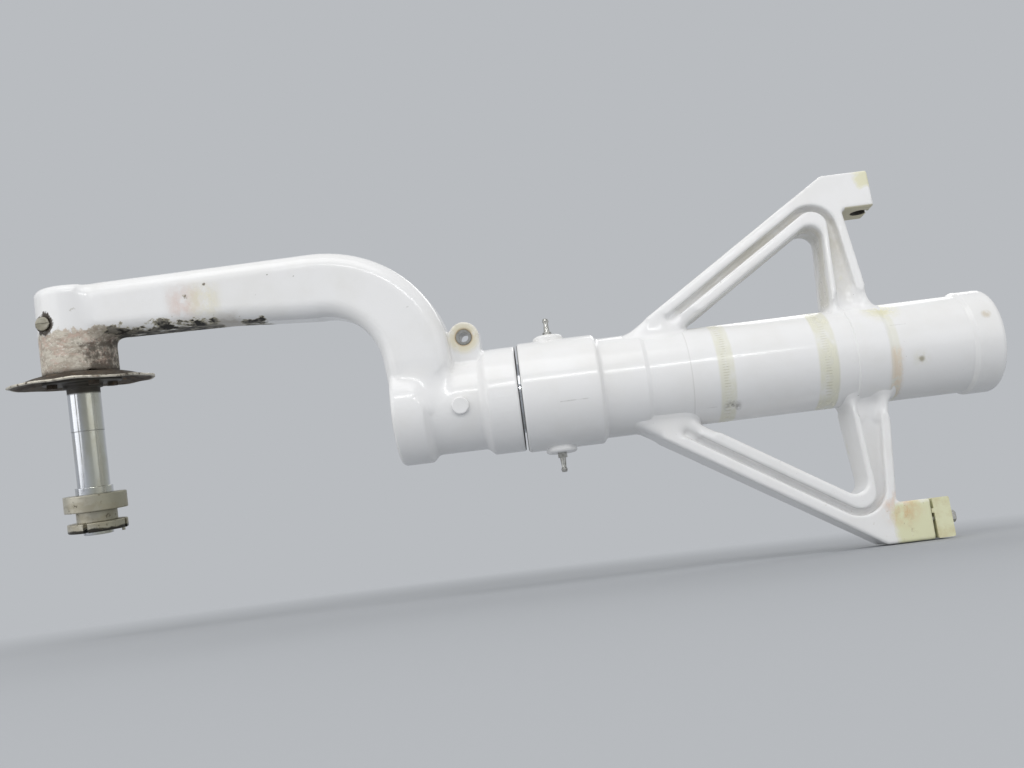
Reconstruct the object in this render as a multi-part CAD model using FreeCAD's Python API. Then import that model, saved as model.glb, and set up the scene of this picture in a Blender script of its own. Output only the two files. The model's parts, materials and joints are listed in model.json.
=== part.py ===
import FreeCAD, Part
import math
import os

# Landing gear strut of a light aircraft, an oleo leg with a one-sided fork. Millimetres, +Z up.
# The barrel lies along X: the fork is at -X, the closed end at +X. The origin is where the
# trunnion axis, which is the Z axis, crosses the barrel's axis. The axle hangs down along -Z.

Vec = FreeCAD.Vector
AXIS_X, AXIS_Y, AXIS_Z = Vec(1, 0, 0), Vec(0, 1, 0), Vec(0, 0, 1)
ORIGIN = Vec(0, 0, 0)

# --- clearances -------------------------------------------------------------------------------
SEAT = 0.05          # between two pieces of one body that seat in each other
RUN = 0.08           # radial, where one body slides or turns in another
FREE = 0.30          # between faces of different bodies that only face each other
GROOVE_FREE = 0.25   # seal or ring in its groove

# --- oleo: barrel -----------------------------------------------------------------------------
BARREL_LOW = 365.5       # lower face to trunnion axis
BARREL_TOP = 98.0        # closed end to trunnion axis
BARREL_R = 48.5
BORE_R = 41.0
COLLAR_R = 55.0          # lower bearing collar
COLLAR_LENGTH = 75.5
NECK_R = 50.2
NECK_LENGTH = 41.0
STEP_RUN = 4.0           # length of each turned step's slope
BAND_R = 49.6            # band that the trunnion legs grow out of
BAND_LENGTH = 30.0
END_R = 51.0             # collar round the closed end
END_LENGTH = 31.0
END_ROUND = 6.0
PISTON_R = 34.9
STROKE = 178.0
FACE_GAP = 2.4           # fork socket to barrel with the strut fully compressed

# --- oleo: gland in the lower collar ----------------------------------------------------------
BEARING_LENGTH = 58.0
BEARING_WALL = 9.0
GLAND_DEPTH = 66.5       # lower face to the shoulder that the bearing seats on
SNAP_WIRE = 2.0          # thickness of the flat snap rings
SNAP_DEPTH = 2.2         # how far a snap ring bites into its groove
SEAL_WIRE = 3.6          # section diameter of the O-rings
BACKUP_THICK = 1.6
WIPER_LENGTH = 4.2
GREASE_GROOVE = 6.0
STOP_WALL = 4.0

# --- oleo: piston -----------------------------------------------------------------------------
PISTON_WALL = 4.4
PISTON_TOP = 28.0        # upper end of the piston tube, compressed
PISTON_IN_SOCKET = 78.0
GUIDE_LENGTH = 30.0
GUIDE_STEP = 1.5         # the tube's end is turned down by this for the guide
GUIDE_HOLE_R = 2.2
GUIDE_HOLES = 10
WEAR_WIDTH = 10.0
WEAR_DEPTH = 2.4
PLUG_LENGTH = 42.0
METER_R = 6.6
METER_TIP_R = 4.8
METER_TIP_X = 46.0
METER_THREAD = 12.0

# --- oleo: closed end -------------------------------------------------------------------------
CAP_LENGTH = 14.0
CAP_SHOULDER = 2.6       # the cap's seat is this much wider than the bore
CAP_INSET = 14.0         # cap's outer face below the barrel's end
CAP_HOLE_R = 3.2         # pin-spanner holes
VALVE_R = 3.85
VALVE_HEX = 14.3
VALVE_HEX_LENGTH = 5.0
VALVE_STEM = 7.5
VALVE_CAP_R = 4.9
VALVE_CAP_ROOF = 1.0
ORIFICE_TUBE_R = 24.0
ORIFICE_TUBE_WALL = 3.2
ORIFICE_TUBE_LENGTH = 214.0
ORIFICE_FLANGE = 4.0
ORIFICE_PLATE = 6.0
ORIFICE_GAP = 0.9        # annulus round the metering pin

# --- grease fittings --------------------------------------------------------------------------
GREASE_UP = 32.5         # above the barrel's lower face
GREASE_BOSS_R = 15.5
GREASE_BOSS_RISE = 4.5
GREASE_HEX = 7.94
GREASE_RISE = 19.0       # tip above the boss
GREASE_SHANK_R = 3.0

# --- trunnion frames --------------------------------------------------------------------------
SPAN = 186.0             # outer face of a lug to the barrel's axis
LUG_INNER = 147.5        # inner face of a lug
LUG_END = 9.5            # free end of a lug past the trunnion axis
LUG_CORNER_X = -38.0
TRUNNION_R = 7.9375      # for a 5/8 inch trunnion pin
FOOT_X = -253.6          # toe of the diagonal on the barrel
DIAGONAL_WIDTH = 29.5
DIAGONAL_FLANGE = 11.0
LEG_OUT_LOW = -14.0      # the leg's outer edge at the barrel, and at the lug
LEG_OUT_HIGH = -23.5
LEG_IN_LOW = -51.0       # the leg's inner edge at the barrel, and at the lug
LEG_IN_HIGH = -45.0
LEG_FLANGE = 9.0
LEG_INNER_FLANGE = 5.5
FRAME_HALF_LOW = 29.0    # half depth in Y, at the barrel's axis and at the span
FRAME_HALF_HIGH = 19.5
WEB_HALF_LOW = 20.0
WEB_HALF_HIGH = 8.0
GROOVE_START = 58.5      # height where the groove starts on the diagonal
APEX_ROUND = 13.0
GROOVE_APEX_ROUND = 26.0
FRAME_ROUND = 2.5        # along the frame's outer edges
GROOVE_ROUND = 3.0       # along the groove's floor
RIM_ROUND = 1.5          # along the groove's rim
SLOT_WIDTH = 3.0         # key slot from the trunnion bore to the lug's end
KEEPER_GAP = 2.3
KEEPER_THICK = 16.0
KEEPER_TAB = 4.0
KEEPER_SCREW_R = 3.0
KEEPER_SCREW_HEAD_R = 5.0
KEEPER_SCREW_REACH = 14.0
KEEPER_SCREW_SPREAD = 13.5

# --- half fork --------------------------------------------------------------------------------
SOCKET_LENGTH = 124.5
SOCKET_COLLAR_R = 53.0
SOCKET_WAIST_R = 46.4
SOCKET_COLLAR_LENGTH = 31.0
SOCKET_ROUND = 5.0
AXLE_X = -808.0
FORK_TURN = 8.0          # how far the fork stands turned round the barrel's axis, in degrees
ARM_TOP = 168.5          # arm's straight upper side above the barrel's axis
BEND_R = 118.7           # outer side of the bend
BEND_X = -560.0          # start of the bend, and its centre in X
BEND_FLARE = 11.0        # how much further out the bend's outer side runs by the socket
ARM_MID_X = -650.0
ARM_HEIGHT_HUB = 54.0
ARM_HEIGHT_MID = 57.5
ARM_HEIGHT_BEND = 64.0
ARM_HEIGHT_SOCKET = 55.0
ARM_WIDTH_HUB = 58.0
ARM_WIDTH_MID = 61.0
ARM_WIDTH_BEND = 66.0
ARM_WIDTH_SOCKET = 84.0
ARM_ROUND = 16.0
HUB_R = 36.5
HUB_TOP = 168.0
HUB_LOW = 80.0
HUB_ROUND = 9.0
EAR_X = -416.0
EAR_Z = 67.0
EAR_R = 15.2
EAR_HALF = 19.6
EAR_BUSH_R = 7.5
EAR_HOLE_R = 4.7625
CROSS_PIN_X = -425.3
CROSS_PIN_R = 6.0
CROSS_PIN_HEAD_R = 8.5
CROSS_PIN_HEAD = 3.5

# --- axle end ---------------------------------------------------------------------------------
AXLE_R = 15.875          # 1 1/4 in wheel bearing seat
AXLE_SEAT_Z = 22.0       # lower edge of the inboard bearing seat
AXLE_OUTER_R = 15.6
SHANK_R = 21.0           # axle's shank in the hub
SHANK_LENGTH = 66.0
AXLE_FLANGE_R = 37.5
AXLE_FLANGE = 6.0
ROOT_R = 19.0
ROOT_LENGTH = 5.0
AXLE_BORE_R = 9.5
SHOULDER_R = 18.0
SHOULDER_Z = -34.5
SHOULDER_LENGTH = 7.0
THREAD_R = 14.3
SPACER_R = 30.0
SPACER_LENGTH = 16.7
WASHER_R = 19.5
WASHER_LENGTH = 10.7
NUT_R = 28.5
NUT_LENGTH = 9.4
NUT_SLOT = 4.6
NUT_SLOT_DEPTH = 9.0
NUT_SLOTS = 4
AXLE_TIP = 3.6           # axle's end past the nut
PLATE_R = 71.0
PLATE_THICK = 3.0
PLATE_DISH = 7.0         # how far the rim hangs below the middle
PLATE_RIM = 7.0
PLATE_BOLT_R = 3.0
PLATE_BOLT_PITCH_R = 30.0
PLATE_BOLT_HEAD = 4.0
PLATE_BOLT_REACH = 16.0
PLATE_BOLTS = 4
LOCK_OFFSET = 17.5       # from the axle's centre, away from the arm
LOCK_Z = 131.0
LOCK_R = 5.0
LOCK_FACE_R = 9.0        # spot face each side of the hub
LOCK_FACE_HALF = 32.0
LOCK_HEAD_R = 7.0
COTTER_R = 1.6


# --- helpers ----------------------------------------------------------------------------------
def side(a, b):
    return Vec(a, 0, b)


def at_axle(radius, height):
    return Vec(AXLE_X + radius, 0, height)


def outline(points, place=side):
    """Face inside a polygon of (a, b, corner radius) points, its round corners as arcs."""
    corners = []
    for index, (a, b, radius) in enumerate(points):
        here = place(a, b)
        last = points[index - 1]
        after = points[(index + 1) % len(points)]
        back = place(last[0], last[1]) - here
        ahead = place(after[0], after[1]) - here
        back.normalize()
        ahead.normalize()
        if radius == 0:
            corners.append((here, None, here))
            continue
        half = back.getAngle(ahead) / 2
        bisector = back + ahead
        bisector.normalize()
        reach = radius / math.tan(half)
        middle = here + bisector * (radius / math.sin(half) - radius)
        corners.append((here + back * reach, middle, here + ahead * reach))
    edges = []
    for index, (start, middle, end) in enumerate(corners):
        if middle is not None:
            edges.append(Part.Arc(start, middle, end).toShape())
        following = corners[(index + 1) % len(corners)][0]
        if (following - end).Length > 1e-6:
            edges.append(Part.LineSegment(end, following).toShape())
    return Part.Face(Part.Wire(edges))


def turned(points):
    """Solid of (x, radius, corner radius) points, turned about the barrel's axis."""
    return outline(points).revolve(ORIGIN, AXIS_X, 360)


def turned_on_axle(points):
    """Solid of (radius, z, corner radius) points, turned about the axle's axis."""
    return outline(points, at_axle).revolve(Vec(AXLE_X, 0, 0), AXIS_Z, 360)


def plate(points, half_depth):
    """Solid of (x, z, corner radius) points, as deep as half_depth each side of the middle."""
    face = outline(points)
    face.translate(Vec(0, -half_depth, 0))
    return face.extrude(Vec(0, 2 * half_depth, 0))


def rod(radius, start, end):
    along = end - start
    return Part.makeCylinder(radius, along.Length, start, along)


def ring(x_low, x_high, outer, inner):
    body = rod(outer, Vec(x_low, 0, 0), Vec(x_high, 0, 0))
    return body.cut(rod(inner, Vec(x_low - 1, 0, 0), Vec(x_high + 1, 0, 0)))


def o_ring(x, centre_r, wire):
    return Part.makeTorus(centre_r, wire / 2, Vec(x, 0, 0), AXIS_X)


def snap_ring(x_low, outer, inner, gap):
    """Flat ring with a gap at its top, for a groove round the barrel's axis."""
    body = ring(x_low, x_low + SNAP_WIRE, outer, inner)
    return body.cut(Part.makeBox(SNAP_WIRE + 2, gap, 2 * outer, Vec(x_low - 1, -gap / 2, 0)))


def hexagon(width, height, base, axis):
    """Hexagonal prism by its width across flats."""
    corner = width / math.sqrt(3)
    points = [Vec(corner * math.cos(math.radians(60 * k)), corner * math.sin(math.radians(60 * k)), 0)
              for k in range(7)]
    prism = Part.Face(Part.makePolygon(points)).extrude(Vec(0, 0, height))
    prism.Placement = FreeCAD.Placement(base, FreeCAD.Rotation(AXIS_Z, axis))
    return prism


def around(shape, count, centre, axis):
    copies = []
    for k in range(count):
        copy = shape.copy()
        copy.rotate(centre, axis, 360.0 * k / count)
        copies.append(copy)
    return copies


def rounded(shape, radius, chosen):
    """Fillets the edges that chosen picks."""
    edges = [edge for edge in shape.Edges if chosen(edge)]
    return shape.makeFillet(radius, edges) if edges else shape


def between(low, high, share):
    return low + (high - low) * share


def flipped(shape):
    """The same piece on the other side of the barrel's axis, in Z."""
    return shape.mirror(ORIGIN, AXIS_Z)


def export(name, *shapes):
    shape = shapes[0] if len(shapes) == 1 else Part.makeCompound(shapes)
    shape.exportStep("parts/" + name + ".step")


def export_fork(name, *shapes):
    """A piece of the fork, which stands turned round the barrel's axis."""
    shape = Part.makeCompound(shapes) if len(shapes) > 1 else shapes[0].copy()
    shape.rotate(ORIGIN, AXIS_X, FORK_TURN)
    export(name, shape)


# --- places that several pieces share ---------------------------------------------------------
LOW_X = -BARREL_LOW
GREASE_X = LOW_X + GREASE_UP
GLAND_X = LOW_X + GLAND_DEPTH                    # shoulder behind the lower bearing
BEARING_BORE_R = PISTON_R + RUN
BEARING_R = BEARING_BORE_R + BEARING_WALL
GLAND_R = BEARING_R + SEAT
BEARING_LOW_X = GLAND_X - BEARING_LENGTH
WIPER_X = BEARING_LOW_X - SEAT - WIPER_LENGTH
GLAND_SNAP_X = WIPER_X - SEAT - SNAP_WIRE
PISTON_BORE_R = PISTON_R - PISTON_WALL
GUIDE_X = PISTON_TOP - SNAP_WIRE - 2 * SNAP_DEPTH - GUIDE_LENGTH
GUIDE_SEAT_R = PISTON_R - GUIDE_STEP
GUIDE_R = BORE_R - RUN
STOP_INNER_R = PISTON_R + 0.7
STOP_X = GLAND_X + FREE
STOP_TOP_X = GUIDE_X - STROKE - FREE
CAP_OUT_X = BARREL_TOP - CAP_INSET
CAP_IN_X = CAP_OUT_X - CAP_LENGTH
CAP_R = BORE_R + CAP_SHOULDER
SOCKET_X = LOW_X - FACE_GAP                      # open face of the socket
SOCKET_END_X = SOCKET_X - SOCKET_LENGTH
PISTON_END_X = SOCKET_X - PISTON_IN_SOCKET
PLUG_END_X = PISTON_END_X + SEAT
PLUG_TOP_X = PLUG_END_X + PLUG_LENGTH
ORIFICE_X = CAP_IN_X - ORIFICE_TUBE_LENGTH
KEEPER_X = LUG_END - 2.0                         # lower lug's end, faced back for the keeper
PLATE_Z = HUB_LOW - SEAT - PLATE_THICK           # lower face of the brake plate's middle
AXLE_FLANGE_Z = PLATE_Z - SEAT - AXLE_FLANGE
SPACER_TOP_Z = SHOULDER_Z - SHOULDER_LENGTH - FREE
WASHER_TOP_Z = SPACER_TOP_Z - SPACER_LENGTH - FREE
NUT_TOP_Z = WASHER_TOP_Z - WASHER_LENGTH - SEAT
NUT_LOW_Z = NUT_TOP_Z - NUT_LENGTH
AXLE_END_Z = NUT_LOW_Z - AXLE_TIP
GREASE_SEAT_Z = COLLAR_R + GREASE_BOSS_RISE
SEAL_GROOVE = SEAL_WIRE + 2 * BACKUP_THICK + 4 * GROOVE_FREE
SEAL_X = BEARING_LOW_X + 6.0 + SEAL_GROOVE / 2
OUTER_SEAL_X = GLAND_X - 8.0
CAP_SEAL_X = (CAP_IN_X + CAP_OUT_X) / 2
WEAR_X = GUIDE_X + (GUIDE_LENGTH - WEAR_WIDTH) / 2
PLUG_SEAL_X = PLUG_TOP_X - 6.0
COTTER_Z = NUT_LOW_Z + NUT_LENGTH / 3
LOCK_X = AXLE_X - LOCK_OFFSET
DIAGONAL_SLOPE = (SPAN - BARREL_R) / (LUG_CORNER_X - FOOT_X)
DIAGONAL_STRETCH = math.sqrt(1 + DIAGONAL_SLOPE ** 2)


# --- barrel and its gland ---------------------------------------------------------------------
def barrel_outside(extra):
    """The barrel's outer form, grown by extra."""
    collar_end = LOW_X + COLLAR_LENGTH
    neck_end = collar_end + STEP_RUN + NECK_LENGTH
    end_start = BARREL_TOP - END_LENGTH
    band_low = (LEG_IN_LOW + LEG_OUT_LOW) / 2 - BAND_LENGTH / 2 + STEP_RUN
    band_high = band_low + BAND_LENGTH
    return turned([
        (LOW_X, 0, 0), (LOW_X, COLLAR_R + extra, 3.0), (collar_end, COLLAR_R + extra, 3.0),
        (collar_end + STEP_RUN, NECK_R + extra, 3.0), (neck_end, NECK_R + extra, 2.0),
        (neck_end + STEP_RUN, BARREL_R + extra, 2.0), (band_low, BARREL_R + extra, 0),
        (band_low + 1.0, BAND_R + extra, 0), (band_high, BAND_R + extra, 0),
        (band_high + STEP_RUN, BARREL_R + extra, 0), (end_start, BARREL_R + extra, 0),
        (end_start + STEP_RUN, END_R + extra, 2.0), (BARREL_TOP, END_R + extra, END_ROUND),
        (BARREL_TOP, 0, 0)])


def make_barrel():
    body = barrel_outside(0)
    for up in (AXIS_Z, -AXIS_Z):
        foot = Vec(GREASE_X, 0, 0) + up * (COLLAR_R - 6)
        boss = rod(GREASE_BOSS_R, foot, Vec(GREASE_X, 0, 0) + up * GREASE_SEAT_Z)
        boss = boss.makeFillet(3.0, [max(boss.Edges, key=lambda edge: edge.CenterOfMass.dot(up))])
        body = body.fuse(boss)
    hollow = turned([
        (LOW_X - 1, 0, 0), (LOW_X - 1, GLAND_R, 0), (GLAND_X, GLAND_R, 0), (GLAND_X, BORE_R, 0),
        (CAP_IN_X, BORE_R, 0), (CAP_IN_X, CAP_R, 0), (BARREL_TOP + 1, CAP_R, 0),
        (BARREL_TOP + 1, 0, 0)])
    body = body.cut(hollow)
    body = body.cut(ring(GLAND_SNAP_X - SEAT, GLAND_SNAP_X + SNAP_WIRE + SEAT,
                         GLAND_R + SNAP_DEPTH, GLAND_R - 1))
    body = body.cut(ring(CAP_OUT_X + SEAT, CAP_OUT_X + SNAP_WIRE + 3 * SEAT,
                         CAP_R + SNAP_DEPTH, CAP_R - 1))
    drill = rod(GREASE_SHANK_R + SEAT, Vec(GREASE_X, 0, -COLLAR_R - 20), Vec(GREASE_X, 0, COLLAR_R + 20))
    return body.cut(drill).removeSplitter()


def make_lower_bearing():
    body = ring(BEARING_LOW_X, GLAND_X - SEAT, BEARING_R, BEARING_BORE_R)
    grease = ring(GREASE_X - GREASE_GROOVE / 2, GREASE_X + GREASE_GROOVE / 2, BEARING_R + 1, BEARING_R - 2.5)
    outer_seal = ring(OUTER_SEAL_X - SEAL_WIRE * 0.65, OUTER_SEAL_X + SEAL_WIRE * 0.65,
                      BEARING_R + 1, BEARING_R - SEAL_WIRE)
    inner_seal = ring(SEAL_X - SEAL_GROOVE / 2, SEAL_X + SEAL_GROOVE / 2,
                      BEARING_BORE_R + SEAL_WIRE + GROOVE_FREE, BEARING_BORE_R - 1)
    body = body.cut(grease).cut(outer_seal).cut(inner_seal)
    hole = rod(1.5, Vec(GREASE_X, 0, 0), Vec(GREASE_X, 0, BEARING_R + 1))
    for copy in around(hole, 4, ORIGIN, AXIS_X):
        body = body.cut(copy)
    return body


def make_gland_seals():
    """O-ring and two back-up rings round the piston, the outer O-ring and the wiper."""
    inner_r = PISTON_R + FREE
    seal = o_ring(SEAL_X, inner_r + SEAL_WIRE / 2, SEAL_WIRE)
    offset = SEAL_WIRE / 2 + GROOVE_FREE
    backups = []
    for low in (SEAL_X - offset - BACKUP_THICK, SEAL_X + offset):
        backups.append(ring(low, low + BACKUP_THICK, inner_r + SEAL_WIRE - 0.2, inner_r))
    outer = o_ring(OUTER_SEAL_X, BEARING_R - SEAL_WIRE / 2 - SEAT, SEAL_WIRE - 2 * SEAT)
    wiper = ring(WIPER_X, WIPER_X + WIPER_LENGTH, GLAND_R - SEAT, PISTON_R + FREE)
    lip = ring(WIPER_X - 1, WIPER_X + 1.4, PISTON_R + 4, PISTON_R - 1)
    return seal, backups, outer, wiper.cut(lip)


def make_end_cap():
    cap = turned([
        (CAP_IN_X + SEAT, 0, 0), (CAP_IN_X + SEAT, CAP_R - SEAT, 0.8),
        (CAP_OUT_X, CAP_R - SEAT, 0.8), (CAP_OUT_X, 0, 0)])
    groove = ring(CAP_SEAL_X - SEAL_WIRE * 0.65, CAP_SEAL_X + SEAL_WIRE * 0.65,
                  CAP_R + 1, CAP_R - SEAL_WIRE - GROOVE_FREE)
    cap = cap.cut(groove)
    cap = cap.cut(rod(VALVE_R + SEAT, Vec(CAP_IN_X - 1, 0, 0), Vec(CAP_OUT_X + 1, 0, 0)))
    hole = rod(CAP_HOLE_R, Vec(CAP_OUT_X - 7, CAP_R * 0.6, 0), Vec(CAP_OUT_X + 1, CAP_R * 0.6, 0))
    for copy in around(hole, 2, ORIGIN, AXIS_X):
        cap = cap.cut(copy)
    return cap


def make_valve():
    """Air valve in the end cap, with its hexagon above the cap and a bore through it."""
    hex_low = CAP_OUT_X + SEAT
    stem = turned([
        (CAP_IN_X + 2, 0, 0), (CAP_IN_X + 2, VALVE_R, 0), (hex_low, VALVE_R, 0),
        (hex_low + VALVE_HEX_LENGTH, VALVE_R, 0),
        (hex_low + VALVE_HEX_LENGTH + VALVE_STEM, VALVE_R, 0.6),
        (hex_low + VALVE_HEX_LENGTH + VALVE_STEM, 0, 0)])
    valve = stem.fuse(hexagon(VALVE_HEX, VALVE_HEX_LENGTH, Vec(hex_low, 0, 0), AXIS_X))
    return valve.cut(rod(VALVE_R - 1.6, Vec(CAP_IN_X, 0, 0), Vec(BARREL_TOP + 5, 0, 0)))


def make_valve_cap():
    low = CAP_OUT_X + VALVE_HEX_LENGTH + 2 * SEAT + 0.6
    stem_top = CAP_OUT_X + SEAT + VALVE_HEX_LENGTH + VALVE_STEM
    top = stem_top + SEAT + VALVE_CAP_ROOF
    cap = turned([(low, 0, 0), (low, VALVE_CAP_R, 0.5), (top, VALVE_CAP_R, 0.6), (top, 0, 0)])
    return cap.cut(rod(VALVE_R + SEAT, Vec(low - 1, 0, 0), Vec(stem_top + SEAT, 0, 0)))


def make_orifice_tube():
    """Tube hung from the end cap, with oil holes and a step for the orifice plate."""
    top = CAP_IN_X - SEAT
    inner = ORIFICE_TUBE_R - ORIFICE_TUBE_WALL
    tube = turned([
        (ORIFICE_X, inner, 0), (ORIFICE_X, ORIFICE_TUBE_R, 0.8), (top - ORIFICE_FLANGE, ORIFICE_TUBE_R, 0),
        (top - ORIFICE_FLANGE, BORE_R - SEAT, 0), (top, BORE_R - SEAT, 0), (top, inner - 2, 0),
        (ORIFICE_X + ORIFICE_PLATE, inner - 2, 0), (ORIFICE_X + ORIFICE_PLATE, inner, 0)])
    hole = rod(4.0, Vec(0, 0, 0), Vec(0, 0, ORIFICE_TUBE_R + 2))
    for x in (CAP_IN_X - 24, CAP_IN_X - 44):
        placed = hole.copy()
        placed.translate(Vec(x, 0, 0))
        for copy in around(placed, 4, ORIGIN, AXIS_X):
            tube = tube.cut(copy)
    return tube


def make_orifice_plate():
    inner = ORIFICE_TUBE_R - ORIFICE_TUBE_WALL
    low = ORIFICE_X + 0.4
    body = ring(low, ORIFICE_X + ORIFICE_PLATE - SEAT, inner - SEAT, METER_R + ORIFICE_GAP)
    hole = rod(1.6, Vec(low - 1, 0, inner * 0.66), Vec(low + ORIFICE_PLATE + 1, 0, inner * 0.66))
    for copy in around(hole, 6, ORIGIN, AXIS_X):
        body = body.cut(copy)
    return body


def make_grease_fitting():
    """Upper grease fitting: threaded shank, hexagon, neck and ball head."""
    foot = Vec(GREASE_X, 0, GREASE_SEAT_Z + SEAT)
    hex_height = 4.6
    tip = GREASE_SEAT_Z + GREASE_RISE
    shank = rod(GREASE_SHANK_R, Vec(GREASE_X, 0, GLAND_R + 1.0), foot)
    hexed = hexagon(GREASE_HEX, hex_height, foot, AXIS_Z)
    points = [(0, foot.z + hex_height, 0), (3.1, foot.z + hex_height, 0), (2.3, tip - 6.2, 0.8),
              (2.3, tip - 4.6, 0), (3.3, tip - 2.8, 1.0), (2.4, tip, 0.5), (0, tip, 0)]
    head = outline(points, lambda a, b: Vec(GREASE_X + a, 0, b)).revolve(Vec(GREASE_X, 0, 0), AXIS_Z, 360)
    return shank.fuse(hexed).fuse(head).removeSplitter()


# --- trunnion frames --------------------------------------------------------------------------
def wedge(half_low, half_high):
    """Wedge that is 2 * half_low deep at the barrel's axis and 2 * half_high at the span."""
    section = Part.makePolygon([
        Vec(FOOT_X - 50, -half_low, 0), Vec(FOOT_X - 50, half_low, 0),
        Vec(FOOT_X - 50, half_high, SPAN), Vec(FOOT_X - 50, -half_high, SPAN),
        Vec(FOOT_X - 50, -half_low, 0)])
    return Part.Face(section).extrude(Vec(LUG_END - FOOT_X + 100, 0, 0))


def diagonal_x(z, inset):
    """X on a line parallel to the diagonal's outer edge, inset from it into the frame."""
    return FOOT_X + (z - BARREL_R + inset * DIAGONAL_STRETCH) / DIAGONAL_SLOPE


def leg_x(z, low_x, high_x):
    """X on a leg edge that is at low_x on the barrel and at high_x at the lug."""
    return low_x + (high_x - low_x) * (z - BARREL_R) / (LUG_INNER - BARREL_R)


def apex(inset, low_x, high_x):
    """Where an inset diagonal line meets a leg edge."""
    lean = (high_x - low_x) / (LUG_INNER - BARREL_R)
    rise = (low_x - FOOT_X) * DIAGONAL_SLOPE - inset * DIAGONAL_STRETCH
    z = BARREL_R + rise / (1 - lean * DIAGONAL_SLOPE)
    return leg_x(z, low_x, high_x), z


def window_points(flange, leg_flange):
    """Corners of the triangular window, grown by the widths of the flanges round it."""
    inset = DIAGONAL_WIDTH - flange
    low_x = LEG_IN_LOW + leg_flange
    high_x = LEG_IN_HIGH + leg_flange
    buried = BARREL_R / 3
    top_x, top = apex(inset, low_x, high_x)
    return [(diagonal_x(buried, inset), buried, 0), (top_x, top, APEX_ROUND + leg_flange / 2),
            (leg_x(buried, low_x, high_x), buried, 0)]


def groove_points():
    """Outer edge of the groove that follows the diagonal, rounds the apex and runs down the leg."""
    buried = BARREL_R / 2
    low_x = LEG_OUT_LOW - LEG_FLANGE
    high_x = LEG_OUT_HIGH - LEG_FLANGE
    start_x = diagonal_x(GROOVE_START, DIAGONAL_FLANGE)
    top_x, top = apex(DIAGONAL_FLANGE, low_x, high_x)
    return [(start_x, GROOVE_START, 2.0), (top_x, top, GROOVE_APEX_ROUND),
            (leg_x(buried, low_x, high_x), buried, 0), (start_x + 30, buried, 0)]


def on_wedge(edge, half_low, half_high):
    """True for an edge above the barrel that runs along a sloping side of the wedge."""
    if edge.BoundBox.ZMax < BARREL_R + 1:
        return False
    corners = edge.Vertexes
    across = corners[0].Y * corners[-1].Y < 0
    return not across and all(
        abs(abs(corner.Y) - between(half_low, half_high, corner.Z / SPAN)) < 0.01 for corner in corners)


def make_frame(end_x):
    """Upper trunnion frame: outer form, window, grooved faces, lug, bore and saddle."""
    buried = BARREL_R / 2
    beyond = FRAME_HALF_LOW + 5
    toe = BARREL_R + 8
    body = plate([
        (diagonal_x(buried, 0), buried, 0), (LUG_CORNER_X, SPAN, 6.0), (end_x, SPAN, 2.0),
        (end_x, LUG_INNER, 1.0), (leg_x(LUG_INNER, LEG_OUT_LOW, LEG_OUT_HIGH), LUG_INNER, 4.0),
        (leg_x(toe, LEG_OUT_LOW, LEG_OUT_HIGH), toe, 16.0), (LEG_OUT_LOW + 9, buried, 0)], beyond)
    body = body.common(wedge(FRAME_HALF_LOW, FRAME_HALF_HIGH))
    body = body.cut(plate(window_points(0, 0), beyond))
    body = rounded(body, FRAME_ROUND, lambda edge: on_wedge(edge, FRAME_HALF_LOW, FRAME_HALF_HIGH))
    groove = plate(groove_points(), beyond).cut(wedge(WEB_HALF_LOW, WEB_HALF_HIGH))
    groove = groove.cut(plate(window_points(DIAGONAL_FLANGE, LEG_INNER_FLANGE), beyond + 1))
    groove = rounded(groove, GROOVE_ROUND, lambda edge: on_wedge(edge, WEB_HALF_LOW, WEB_HALF_HIGH))
    body = rounded(body.cut(groove), RIM_ROUND, lambda edge: on_wedge(edge, FRAME_HALF_LOW, FRAME_HALF_HIGH))
    body = body.cut(rod(TRUNNION_R, Vec(0, 0, LUG_INNER - 20), Vec(0, 0, SPAN + 1)))
    body = body.cut(Part.makeBox(end_x + 1, SLOT_WIDTH, SPAN, Vec(0, -SLOT_WIDTH / 2, LUG_INNER - 20)))
    return body.cut(barrel_outside(SEAT))


def make_keeper():
    """Block on the upper lug's end with a tongue in the key slot and a tab that bridges the gap."""
    low_x = KEEPER_X + KEEPER_GAP
    top = SPAN - 0.5
    block = plate([(low_x, LUG_INNER, 1.0), (low_x + KEEPER_THICK, LUG_INNER, 2.0),
                   (low_x + KEEPER_THICK, top, 2.0), (low_x, top, 1.0)], FRAME_HALF_HIGH)
    tongue_x = max(TRUNNION_R, KEEPER_X) + FREE
    tongue = Part.makeBox(low_x - tongue_x + 1, SLOT_WIDTH - 2 * FREE, SPAN - LUG_INNER - 8,
                          Vec(tongue_x, -SLOT_WIDTH / 2 + FREE, LUG_INNER + 4))
    tab = Part.makeBox(KEEPER_GAP - SEAT + 1, KEEPER_TAB, KEEPER_TAB,
                       Vec(KEEPER_X + SEAT, -FRAME_HALF_HIGH, LUG_INNER + 10))
    body = block.fuse(tongue).fuse(tab).removeSplitter()
    for place in keeper_screw_places():
        body = body.cut(rod(KEEPER_SCREW_R + 0.2, Vec(low_x - 5, 0, 0) + place,
                            Vec(low_x + KEEPER_THICK + 1, 0, 0) + place))
    return body


def keeper_screw_places():
    middle = (LUG_INNER + SPAN) / 2
    return [Vec(0, KEEPER_SCREW_SPREAD, middle), Vec(0, -KEEPER_SCREW_SPREAD, middle)]


def make_keeper_screws():
    """Two hexagon-head screws through the keeper into the lug."""
    seat_x = KEEPER_X + KEEPER_GAP + KEEPER_THICK + SEAT
    screws = []
    for place in keeper_screw_places():
        shank = rod(KEEPER_SCREW_R, Vec(KEEPER_X - KEEPER_SCREW_REACH, 0, 0) + place,
                    Vec(seat_x + 0.5, 0, 0) + place)
        head = hexagon(2 * KEEPER_SCREW_HEAD_R, 4.0, Vec(seat_x, 0, 0) + place, AXIS_X)
        screws.append(shank.fuse(head))
    return screws


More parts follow.
